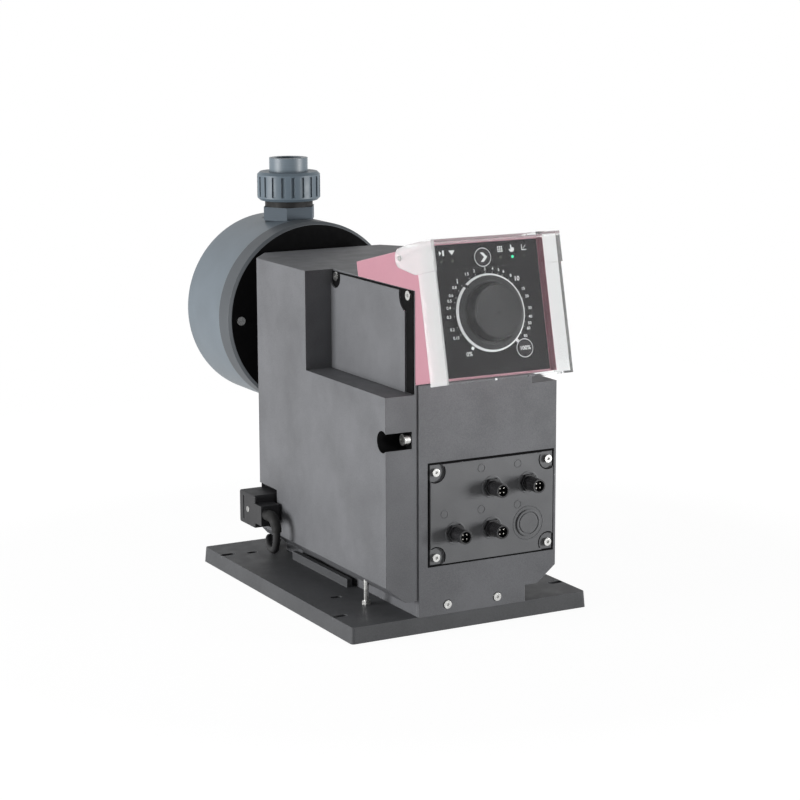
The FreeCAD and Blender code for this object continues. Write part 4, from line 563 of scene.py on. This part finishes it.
def open_tree(name, sizes):
    """Start a tree with a geometry input and one named input for each size."""
    tree = bpy.data.node_groups.new(name, "GeometryNodeTree")
    tree.interface.new_socket("Geometry", in_out="INPUT", socket_type="NodeSocketGeometry")
    for size in sizes:
        tree.interface.new_socket(size, in_out="INPUT", socket_type="NodeSocketFloat")
    tree.interface.new_socket("Geometry", in_out="OUTPUT", socket_type="NodeSocketGeometry")
    return tree, add(tree, "NodeGroupInput")


def close_tree(tree, geometry, look):
    """End a tree with real geometry in one finish."""
    real = add(tree, "GeometryNodeRealizeInstances", {}, {"Geometry": geometry})
    inked = add(tree, "GeometryNodeSetMaterial", {},
                {"Geometry": real.outputs["Geometry"], "Material": bpy.data.materials[look]})
    add(tree, "NodeGroupOutput", {}, {0: inked.outputs["Geometry"]})
    return tree


def grow(name, tree, points, sizes, readings=()):
    """Run a tree on loose points, with sizes in millimetres, and hand back a plain mesh."""
    seed = bpy.data.meshes.new(name + "_places")
    seed.from_pydata([[c * MM for c in point] for point in points], [], [])
    if readings:
        seed.attributes.new("reading", "FLOAT", "POINT").data.foreach_set("value", readings)
    holder = bpy.data.objects.new(name, seed)
    scene.collection.objects.link(holder)
    modifier = holder.modifiers.new(name, "NODES")
    modifier.node_group = tree
    for item in tree.interface.items_tree:
        if item.in_out == "INPUT" and item.name in sizes:
            modifier[item.identifier] = sizes[item.name] * MM
    made = bpy.data.meshes.new_from_object(holder.evaluated_get(bpy.context.evaluated_depsgraph_get()))
    holder.modifiers.clear()
    bpy.data.objects.remove(holder)
    bpy.data.meshes.remove(seed)
    return made


def add_grown(bm, made, matrix):
    """Put a grown mesh in its place, beside what bm already holds."""
    made.transform(matrix)
    bm.from_mesh(made)
    bpy.data.meshes.remove(made)


SCALE_AT_ONE = -44.8
DECADE_BELOW, DECADE, DECADE_ABOVE = 89.0, 92.6, 85.0


def scale_angle(reading):
    """Where a reading stands on the dial's logarithmic scale, in degrees clockwise from up."""
    decades = math.log10(reading)
    inside = min(max(decades, 0), 1)
    return (SCALE_AT_ONE + DECADE * inside + DECADE_BELOW * min(decades, 0)
            + DECADE_ABOVE * max(decades - 1, 0))


def dial_scale_tree():
    """A tick at scale_angle for each reading: a decade from 1 to 10 is wider than those outside it."""
    tree, given = open_tree("dial_scale", ("Radius", "Width", "Length", "Height"))
    reading = add(tree, "GeometryNodeInputNamedAttribute", {"data_type": "FLOAT"}, {"Name": "reading"})
    decades = add(tree, "ShaderNodeMath", {"operation": "LOGARITHM"},
                  {0: reading.outputs["Attribute"], 1: 10.0})
    inside = add(tree, "ShaderNodeClamp", {}, {"Value": decades.outputs["Value"]})
    below = add(tree, "ShaderNodeMath", {"operation": "MINIMUM"}, {0: decades.outputs["Value"], 1: 0.0})
    above = add(tree, "ShaderNodeMath", {"operation": "MAXIMUM"}, {0: decades.outputs["Value"], 1: 1.0})
    first = add(tree, "ShaderNodeMath", {"operation": "MULTIPLY_ADD"},
                {0: inside.outputs["Result"], 1: math.radians(DECADE),
                 2: math.radians(SCALE_AT_ONE - DECADE_ABOVE)})
    second = add(tree, "ShaderNodeMath", {"operation": "MULTIPLY_ADD"},
                 {0: below.outputs["Value"], 1: math.radians(DECADE_BELOW), 2: first.outputs["Value"]})
    angle = add(tree, "ShaderNodeMath", {"operation": "MULTIPLY_ADD"},
                {0: above.outputs["Value"], 1: math.radians(DECADE_ABOVE), 2: second.outputs["Value"]})
    sine = add(tree, "ShaderNodeMath", {"operation": "SINE"}, {0: angle.outputs["Value"]})
    cosine = add(tree, "ShaderNodeMath", {"operation": "COSINE"}, {0: angle.outputs["Value"]})
    heading = add(tree, "ShaderNodeCombineXYZ", {}, {0: sine.outputs["Value"], 1: cosine.outputs["Value"]})
    place = add(tree, "ShaderNodeVectorMath", {"operation": "SCALE"},
                {0: heading.outputs["Vector"], "Scale": given.outputs["Radius"]})
    spread = add(tree, "GeometryNodeSetPosition", {},
                 {"Geometry": given.outputs["Geometry"], "Position": place.outputs["Vector"]})
    size = add(tree, "ShaderNodeCombineXYZ", {},
               {0: given.outputs["Width"], 1: given.outputs["Length"], 2: given.outputs["Height"]})
    bar = add(tree, "GeometryNodeMeshCube", {}, {"Size": size.outputs["Vector"]})
    back = add(tree, "ShaderNodeMath", {"operation": "MULTIPLY"}, {0: angle.outputs["Value"], 1: -1.0})
    turn = add(tree, "ShaderNodeCombineXYZ", {}, {2: back.outputs["Value"]})
    ticks = add(tree, "GeometryNodeInstanceOnPoints", {},
                {"Points": spread.outputs["Geometry"], "Instance": bar.outputs["Mesh"],
                 "Rotation": turn.outputs["Vector"]})
    return close_tree(tree, ticks.outputs["Instances"], "white_screen_ink")


def raised_ring_tree(look):
    """A ring with a flat top round each point."""
    tree, given = open_tree("raised_rings", ("Radius", "Width", "Height"))
    track = add(tree, "GeometryNodeCurvePrimitiveCircle", {},
                {"Resolution": 72, "Radius": given.outputs["Radius"]})
    section = add(tree, "GeometryNodeCurvePrimitiveQuadrilateral", {},
                  {"Width": given.outputs["Width"], "Height": given.outputs["Height"]})
    ring = add(tree, "GeometryNodeCurveToMesh", {},
               {"Curve": track.outputs["Curve"], "Profile Curve": section.outputs["Curve"]})
    rings = add(tree, "GeometryNodeInstanceOnPoints", {},
                {"Points": given.outputs["Geometry"], "Instance": ring.outputs["Mesh"]})
    return close_tree(tree, rings.outputs["Instances"], look)


def dot_block_tree():
    """Three rows of three square dots round each point."""
    tree, given = open_tree("dot_block", ("Pitch", "Side", "Height"))
    span = add(tree, "ShaderNodeMath", {"operation": "MULTIPLY"}, {0: given.outputs["Pitch"], 1: 2.0})
    grid = add(tree, "GeometryNodeMeshGrid", {},
               {"Size X": span.outputs["Value"], "Size Y": span.outputs["Value"],
                "Vertices X": 3, "Vertices Y": 3})
    size = add(tree, "ShaderNodeCombineXYZ", {},
               {0: given.outputs["Side"], 1: given.outputs["Side"], 2: given.outputs["Height"]})
    dot = add(tree, "GeometryNodeMeshCube", {}, {"Size": size.outputs["Vector"]})
    dots = add(tree, "GeometryNodeInstanceOnPoints", {},
               {"Points": grid.outputs["Mesh"], "Instance": dot.outputs["Mesh"]})
    block = add(tree, "GeometryNodeInstanceOnPoints", {},
                {"Points": given.outputs["Geometry"], "Instance": dots.outputs["Instances"]})
    return close_tree(tree, block.outputs["Instances"], "white_screen_ink")


# Control panel: painted shade on the frame's borders, the print, the key symbols, the dial's ring and the
# lamp

TILT = math.radians(13.0)
PANEL_FOOT = Vector((0, -186.2, 220.4))
FASCIA = -4.6
BEZEL = -5.0
BORDER = (51.4, 57.0)
BORDER_FOOT, BORDER_HEAD = 0.4, 110.6
PRINT = 0.06
PRINT_GAP = 0.01


def panel_matrix(x, w, v, turn=0.0):
    """Frame that stands on the panel at x, w, v: X to the right, Y up the face, Z out of it."""
    across = Vector((1, 0, 0))
    up = Vector((0, math.sin(TILT), math.cos(TILT)))
    out = across.cross(up)
    origin = (PANEL_FOOT + across * x - out * w + up * v) * MM
    matrix = Matrix((across, up, out)).transposed().to_4x4()
    matrix.translation = origin
    return matrix @ Matrix.Rotation(turn, 4, "Z")


def add_text(bm, text, size, x, v, w=FASCIA - PRINT, heavy=0.0):
    """Lettering with a little thickness, standing on the panel."""
    curve = bpy.data.curves.new("lettering", "FONT")
    curve.body = text
    curve.size = size * MM
    curve.align_x = "CENTER"
    curve.align_y = "CENTER"
    curve.extrude = PRINT / 2 * MM
    curve.offset = heavy * MM
    curve.resolution_u = 3
    holder = bpy.data.objects.new("lettering", curve)
    mesh = bpy.data.meshes.new_from_object(holder)
    mesh.transform(panel_matrix(x, w, v))
    bm.from_mesh(mesh)
    bpy.data.objects.remove(holder)
    bpy.data.curves.remove(curve)
    bpy.data.meshes.remove(mesh)


def add_shape(bm, points, x, v, w=FASCIA, turn=0.0, thick=PRINT):
    """A printed shape: a polygon in millimetres with a little thickness."""
    matrix = panel_matrix(x, w, v, turn)
    low, high = ([bm.verts.new(matrix @ (Vector((px, py, h)) * MM)) for px, py in points]
                 for h in (PRINT_GAP, thick))
    add_prism(bm, low, high)


READINGS = (0.15, 0.2, 0.3, 0.4, 0.5, 0.6, 0.8, 1, 1.5, 2, 3, 4, 5, 6, 8, 10, 15, 20, 30, 40, 50, 60, 80)
BIG_READINGS = (1, 10)
DIAL_V = 52.1
DIAL_STOPS = (-144.4, 137.0)
MODE_KEY = (-1.3, 97.8)
FULL_KEY = (29.2, 20.8)
SYMBOL_V = 103.4


def make_panel_print():
    """The dial's scale with its numbers and stops, a ring round each key, and a symbol over each lamp."""
    bm = bmesh.new()
    on_fascia = FASCIA - PRINT / 2
    ticks = grow("dial_scale", dial_scale_tree(), [(0, 0, 0)] * len(READINGS),
                 {"Radius": 33.4, "Width": 0.32, "Length": 1.0, "Height": PRINT}, READINGS)
    add_grown(bm, ticks, panel_matrix(0, on_fascia, DIAL_V))
    keys = grow("key_rings", raised_ring_tree("white_screen_ink"), [MODE_KEY + (0,), FULL_KEY + (0,)],
                {"Radius": 7.5, "Width": 0.7, "Height": PRINT})
    add_grown(bm, keys, panel_matrix(0, on_fascia, 0))
    dots = grow("pulse_symbol", dot_block_tree(), [(15.7, SYMBOL_V, 0)],
                {"Pitch": 1.75, "Side": 1.2, "Height": PRINT})
    add_grown(bm, dots, panel_matrix(0, on_fascia, 0))
    # A small number stands farther out at the dial's sides, where its width points at the ticks
    for reading in READINGS:
        text = "%g" % reading
        angle = math.radians(scale_angle(reading))
        if reading in BIG_READINGS:
            reach, size, heavy = 38.8, 5.4, 0.12
        else:
            reach, size, heavy = 35.6 + 2.2 * abs(math.sin(angle)) + 0.25 * len(text), 3.4, 0.05
        add_text(bm, text, size, reach * math.sin(angle), DIAL_V + reach * math.cos(angle), heavy=heavy)
    stop = [(-1.3, 32.6), (1.3, 32.6), (1.3, 35.2), (-1.3, 35.2)]
    for angle in DIAL_STOPS:
        add_shape(bm, stop, 0, DIAL_V, turn=-math.radians(angle))
    add_text(bm, "0%", 5.0, -23.4, DIAL_V - 32.2, heavy=0.06)
    drop = [(-3.0, 1.8), (3.0, 1.8), (0, -2.0)]
    arrow = [(-2.6, 2.1), (-0.6, 0), (-2.6, -2.1)]
    bar = [(0.4, 2.2), (2.0, 2.2), (2.0, -2.2), (0.4, -2.2)]
    hand = [(-0.7, -1.0), (-1.9, -0.4), (-2.4, -0.9), (-0.8, -2.9), (1.8, -2.9), (2.8, -1.2), (2.6, 0.3),
            (0.5, 0.9), (0.3, 3.0), (-0.6, 3.0)]
    axes = [(-2.4, 2.6), (-2.4, -2.2), (2.4, -2.2), (2.4, -1.6), (-1.8, -1.6), (-1.8, 2.6)]
    slope = [(-1.3, -1.1), (-0.8, -1.1), (1.9, 2.0), (1.4, 2.0)]
    for shape, x in ((drop, -29.7), (arrow, -38.9), (bar, -38.9), (hand, 26.4), (axes, 38.7), (slope, 38.7)):
        add_shape(bm, shape, x, SYMBOL_V)
    return new_piece("panel_print", mesh_from("panel_print", bm), "pump", "white_screen_ink")


def make_panel_painted_shade():
    """Painted shade: dark red on the frame's face at both sides of the panel, for its inner wall in shade."""
    bm = bmesh.new()
    for side in (-1, 1):
        near, far = sorted((side * BORDER[0], side * BORDER[1]))
        strip = [(near, BORDER_FOOT), (far, BORDER_FOOT), (far, BORDER_HEAD), (near, BORDER_HEAD)]
        add_shape(bm, strip, 0, 0, w=BEZEL)
    return new_piece("panel_painted_shade", mesh_from("panel_painted_shade", bm), "pump",
                     "painted_shade_red")


KEY_PROUD = 0.8
KEY_DISH_DEPTH = 0.35
KEY_DISH_RADIUS = 40.0


def follow_dish(bm, key):
    """Lift the print towards a key's rim, as the dish under it rises."""
    on_key = panel_matrix(key[0], 0, key[1])
    back = on_key.inverted()
    for vert in bm.verts:
        place = back @ vert.co
        place.z += (place.x ** 2 + place.y ** 2) / (2 * KEY_DISH_RADIUS * MM)
        vert.co = on_key @ place


def make_key_symbols():
    """Chevron and full-output lettering printed in the dishes of the two keys."""
    in_dish = FASCIA - KEY_PROUD + KEY_DISH_DEPTH - 2 * PRINT_GAP
    bm = bmesh.new()
    chevron = [(-2.7, -3.9), (0.3, -3.9), (3.9, 0), (0.3, 3.9), (-2.7, 3.9), (1.0, 0)]
    add_shape(bm, chevron, *MODE_KEY, w=in_dish, thick=0.16)
    follow_dish(bm, MODE_KEY)
    new_piece("mode_key_symbol", mesh_from("mode_key_symbol", bm), "mode_button",
              "white_screen_ink")
    bm = bmesh.new()
    add_text(bm, "100%", 4.8, *FULL_KEY, w=in_dish - PRINT, heavy=0.08)
    follow_dish(bm, FULL_KEY)
    new_piece("full_key_symbol", mesh_from("full_key_symbol", bm), "full_button",
              "white_screen_ink")


DIAL_BASE = FASCIA - 0.3
POINTER = -42.5
POINTER_GAP = 2.6


def make_dial_ring():
    """White ink on the dial's rim and on the foot of its slope, open at the pointer."""
    bm = bmesh.new()
    under = [(32.02, 0.2), (32.02, 1.1), (31.62, 1.53), (30.5, 2.33)]
    over = [(32.1, 0.2), (32.1, 1.14), (31.68, 1.62), (30.55, 2.42)]
    start = 90 - POINTER - POINTER_GAP
    end = 90 - POINTER - 360 + POINTER_GAP
    add_band(bm, section_rows(bm, panel_matrix(0, DIAL_BASE, DIAL_V), under + over[::-1], start, end, 160))
    return new_piece("dial_ring", mesh_from("dial_ring", bm), "dial", "white_screen_ink")


def make_green_light():
    """Lit lamp over one of the light guides."""
    bm = bmesh.new()
    matrix = panel_matrix(27.0, FASCIA, 96.5) @ Matrix.Scale(0.45, 4, (0, 0, 1))
    bmesh.ops.create_uvsphere(bm, u_segments=24, v_segments=12, radius=1.25 * MM, matrix=matrix)
    return new_piece("run_lamp", mesh_from("run_lamp", bm), "pump", "lit_green_acrylic")


# Connection plate: its moulded rings, and painted shade in the gap round it

PLATE_FRONT = -154.0
SOCKETS = ((17.8, 119.2), (53.5, 119.2), (-17.9, 83.7), (17.8, 83.7))
BLANK = (53.5, 83.7)
MARK_OFFSET = (-10.3, 17.3)


def facing_front(x, y, z):
    """Frame on a surface that faces -Y: X to the right, Y up, Z out of it."""
    matrix = Matrix(((1, 0, 0), (0, 0, 1), (0, -1, 0))).transposed().to_4x4()
    matrix.translation = Vector((x, y, z)) * MM
    return matrix


def make_plate_marks():
    """Low moulded ring up and to the left of each socket place, and a wide one round the blank place."""
    places = [(x + MARK_OFFSET[0], z + MARK_OFFSET[1], 0) for x, z in SOCKETS + (BLANK,)]
    rings = grow("plate_marks", raised_ring_tree("grained_plate_ppe"), places,
                 {"Radius": 3.3, "Width": 0.6, "Height": 0.4})
    blank = grow("blank_mark", raised_ring_tree("grained_plate_ppe"), [BLANK + (0,)],
                 {"Radius": 14.6, "Width": 0.7, "Height": 0.3})
    bm = bmesh.new()
    add_grown(bm, rings, facing_front(0, PLATE_FRONT, 0))
    add_grown(bm, blank, facing_front(0, PLATE_FRONT, 0))
    return new_piece("plate_marks", mesh_from("plate_marks", bm), "pump",
                     "grained_plate_ppe")


PLATE_CENTRE = (18.3, 101.0)
PLATE_HALF = (59.75, 42.75)
PLATE_SCREWS = (54.75, 36.55)
COVER_PLANE = -152.3
SHADE_GAP, SHADE_WIDTH, SHADE_RISE = 0.02, 1.9, 0.12
SCOOP_SECTION = ((8.4, 0.0), (8.4, 0.1), (9.3, 0.1), (9.3, 0.0))


def make_plate_painted_shade():
    """Painted shade: a black band in the gap round the connection plate, and an arc in each corner screw's
    scoop.
    """
    bm = bmesh.new()
    matrix = facing_front(PLATE_CENTRE[0], COVER_PLANE, PLATE_CENTRE[1])
    rows = []
    for spread, rise in ((SHADE_GAP, 0.0), (SHADE_GAP, SHADE_RISE), (SHADE_WIDTH, SHADE_RISE), (SHADE_WIDTH, 0.0)):
        half_x, half_z = PLATE_HALF[0] + spread, PLATE_HALF[1] + spread
        rows.append([bm.verts.new(matrix @ (Vector((sx * half_x, sz * half_z, rise)) * MM))
                     for sx, sz in ((-1, -1), (1, -1), (1, 1), (-1, 1))])
    add_band(bm, rows, ring=True)
    for sx, sz in ((-1, -1), (-1, 1), (1, -1), (1, 1)):
        corner = facing_front(PLATE_CENTRE[0] + sx * PLATE_SCREWS[0], PLATE_FRONT,
                              PLATE_CENTRE[1] + sz * PLATE_SCREWS[1])
        inwards = corner @ Matrix.Diagonal((-sx, -sz, 1, 1))
        add_band(bm, section_rows(bm, inwards, SCOOP_SECTION, -30, 120, 16))
    return new_piece("plate_painted_shade", mesh_from("plate_painted_shade", bm), "pump",
                     "painted_shade_black")


# Housing and flange: painted shade in the screw pocket, on the flange's face and along the side covers' edges

POCKET_RADIUS = 9.3
POCKET_PLACE = (-145.3, 166.6)
POCKET_MOUTH, POCKET_END = -82.1, -57.6
POCKET_HALF_TURN = 126


def make_pocket_painted_shade():
    """Painted shade: black over the wall and floor of the screw pocket in the housing's left front corner, in
    one piece.
    """
    bm = bmesh.new()
    along_x = Matrix(((0, 1, 0), (0, 0, 1), (1, 0, 0))).transposed().to_4x4()
    along_x.translation = Vector((0, POCKET_PLACE[0], POCKET_PLACE[1])) * MM
    outer, inner = POCKET_RADIUS - 0.02, POCKET_RADIUS - 0.14
    section = ((outer, POCKET_MOUTH), (inner, POCKET_MOUTH), (inner, POCKET_END - 0.12),
               (outer, POCKET_END - 0.02))
    rows = section_rows(bm, along_x, section, -POCKET_HALF_TURN, POCKET_HALF_TURN, 40)
    for a, b in zip(rows, rows[1:]):
        for k, j in ((3, 0), (0, 1), (1, 2)):
            bm.faces.new((a[k], b[k], b[j], a[j]))
    first, last = rows[0], rows[-1]
    for outline in (first, last, [row[2] for row in rows], [row[3] for row in rows],
                    (first[2], first[3], last[3], last[2])):
        bm.faces.new(outline)
    return new_piece("pocket_painted_shade", mesh_from("pocket_painted_shade", bm), "pump",
                     "painted_shade_black")


FLANGE_FRONT = 144.8
FLANGE_SHADE_SECTION = ((43.5, 0.02), (43.5, 0.12), (85.1, 0.12), (85.1, 0.02))


def make_flange_painted_shade():
    """Painted shade: dull black over the flange's front, inside its bevelled edge, where the body shades it.
    """
    bm = bmesh.new()
    matrix = facing_front(0, FLANGE_FRONT, STROKE_AXIS[2])
    add_band(bm, section_rows(bm, matrix, FLANGE_SHADE_SECTION, 0, 360, 128), ring=True)
    return new_piece("flange_painted_shade", mesh_from("flange_painted_shade", bm), "pump",
                     "painted_shade_black")


COVER_SEAT = 54.7
COVER_EDGE = 0.9
SHADE_PROUD, LAYER_STEP = 0.08, 0.02
COVER_FRONT, COVER_STEP, COVER_REAR = -150.0, -138.8, -4.7
COVER_LOW, COVER_STEP_TOP, COVER_HIGH = 204.8, 288.9, 290.4
COVER_SCREWS = ((-143.2, 286.0, 14.4), (-12.6, 286.0, 9.9))


def make_cover_painted_shade():
    """Painted shade: black along each side cover's front and top edges and round its two screws, in the gaps
    and scoops.
    """
    bm = bmesh.new()
    strips = [((COVER_FRONT, COVER_LOW), (COVER_STEP, COVER_HIGH)),
              ((COVER_FRONT, COVER_STEP_TOP), (COVER_REAR, COVER_HIGH))]
    outlines = [[(y0, z0), (y1, z0), (y1, z1), (y0, z1)] for (y0, z0), (y1, z1) in strips]
    for y, z, radius in COVER_SCREWS:
        ring = [(y + radius * math.cos(a), z + radius * math.sin(a))
                for a in (2 * math.pi * k / 64 for k in range(64))]
        outlines.append([(min(max(py, COVER_FRONT), COVER_REAR), min(pz, COVER_HIGH)) for py, pz in ring])
    for side in (-1, 1):
        for layer, outline in enumerate(outlines):
            face = side * (COVER_SEAT + COVER_EDGE + SHADE_PROUD + LAYER_STEP * layer)
            low, high = ([bm.verts.new(Vector((x, y, z)) * MM) for y, z in outline]
                         for x in (side * COVER_SEAT, face))
            add_prism(bm, low, high)
    bmesh.ops.remove_doubles(bm, verts=bm.verts[:], dist=1e-6)
    return new_piece("cover_painted_shade", mesh_from("cover_painted_shade", bm), "pump",
                     "painted_shade_black")


make_cover_painted_shade()
make_plate_painted_shade()
make_pocket_painted_shade()
make_flange_painted_shade()
make_plate_marks()
make_panel_print()
make_panel_painted_shade()
make_key_symbols()
make_dial_ring()
make_green_light()


# Studio: white surroundings, a pale floor and soft lights

AMBIENT = 0.16
FLOOR_HALF = 0.9
FLOOR_LEVEL = -0.5 * MM
FLOOR_WHITE, FLOOR_GLOW = 0.88, 1.08
FADE_START, FADE_END = 0.4, 0.85
PUMP_MIDDLE = (0, 0, 0.18)


def seen_directly(tree):
    """1 where the camera looks straight, by reflection or through clear plastic, and 0 for other light."""
    path = add(tree, "ShaderNodeLightPath")
    through = add(tree, "ShaderNodeMath", {"operation": "MAXIMUM"},
                  {0: path.outputs["Is Camera Ray"], 1: path.outputs["Is Transmission Ray"]})
    seen = add(tree, "ShaderNodeMath", {"operation": "MAXIMUM"},
               {0: through.outputs["Value"], 1: path.outputs["Is Glossy Ray"]})
    return seen.outputs["Value"]


def make_world():
    """Plain white for the camera, in reflections and through clear plastic; dim light for the rest."""
    world = bpy.data.worlds.new("white_studio")
    scene.world = world
    world.use_nodes = True
    tree = world.node_tree
    tree.nodes.clear()
    white = add(tree, "ShaderNodeBackground", {}, {"Strength": 1.0, "Color": (1, 1, 1, 1)})
    dim = add(tree, "ShaderNodeBackground", {}, {"Strength": AMBIENT, "Color": (1, 1, 1, 1)})
    mix = add(tree, "ShaderNodeMixShader", {},
              {0: seen_directly(tree), 1: dim.outputs[0], 2: white.outputs[0]})
    add(tree, "ShaderNodeOutputWorld", {}, {0: mix.outputs[0]})


def make_floor():
    """Pale floor that holds the pump's shadow and fades into the white of the background."""
    mesh = bpy.data.meshes.new("floor")
    corners = ((-FLOOR_HALF, -FLOOR_HALF), (FLOOR_HALF, -FLOOR_HALF), (FLOOR_HALF, FLOOR_HALF),
               (-FLOOR_HALF, FLOOR_HALF))
    mesh.from_pydata([(x, y, FLOOR_LEVEL) for x, y in corners], [], [(0, 1, 2, 3)])
    floor = bpy.data.objects.new("floor", mesh)
    scene.collection.objects.link(floor)
    tree, shader = new_material("pale_studio_floor")
    shader.inputs["Base Color"].default_value = srgb("#E9E9E9")
    shader.inputs["Roughness"].default_value = 0.8
    place = add(tree, "ShaderNodeTexCoord").outputs["Object"]
    away = add(tree, "ShaderNodeVectorMath", {"operation": "LENGTH"}, {0: place})
    fade = add(tree, "ShaderNodeMapRange", {},
               {"Value": away.outputs["Value"], "From Min": FADE_START, "From Max": FADE_END,
                "To Min": FLOOR_WHITE, "To Max": 1.0})
    share = add(tree, "ShaderNodeMath", {"operation": "MULTIPLY"},
                {0: seen_directly(tree), 1: fade.outputs["Result"]})
    glow = add(tree, "ShaderNodeEmission", {}, {"Strength": FLOOR_GLOW, "Color": (1, 1, 1, 1)})
    mix = add(tree, "ShaderNodeMixShader", {},
              {0: share.outputs["Value"], 1: shader.outputs["BSDF"], 2: glow.outputs[0]})
    output = next(node for node in tree.nodes if node.type == "OUTPUT_MATERIAL")
    tree.links.new(mix.outputs[0], output.inputs["Surface"])
    mesh.materials.append(bpy.data.materials["pale_studio_floor"])


def softbox(name, place, width, height, power):
    """A wide, soft lamp that faces the pump's middle."""
    data = bpy.data.lights.new(name, "AREA")
    data.shape = "RECTANGLE"
    data.size = width
    data.size_y = height
    data.energy = power
    light = bpy.data.objects.new(name, data)
    scene.collection.objects.link(light)
    light.location = place
    light.rotation_euler = (Vector(PUMP_MIDDLE) - Vector(place)).to_track_quat("-Z", "Y").to_euler()


make_world()
make_floor()
softbox("left_softbox", (-2.2, 0.3, 0.3), 1.2, 1.0, 55)
softbox("front_softbox", (2.1, -2.0, 0.15), 1.0, 0.9, 76)
scene.view_settings.view_transform = "Standard"
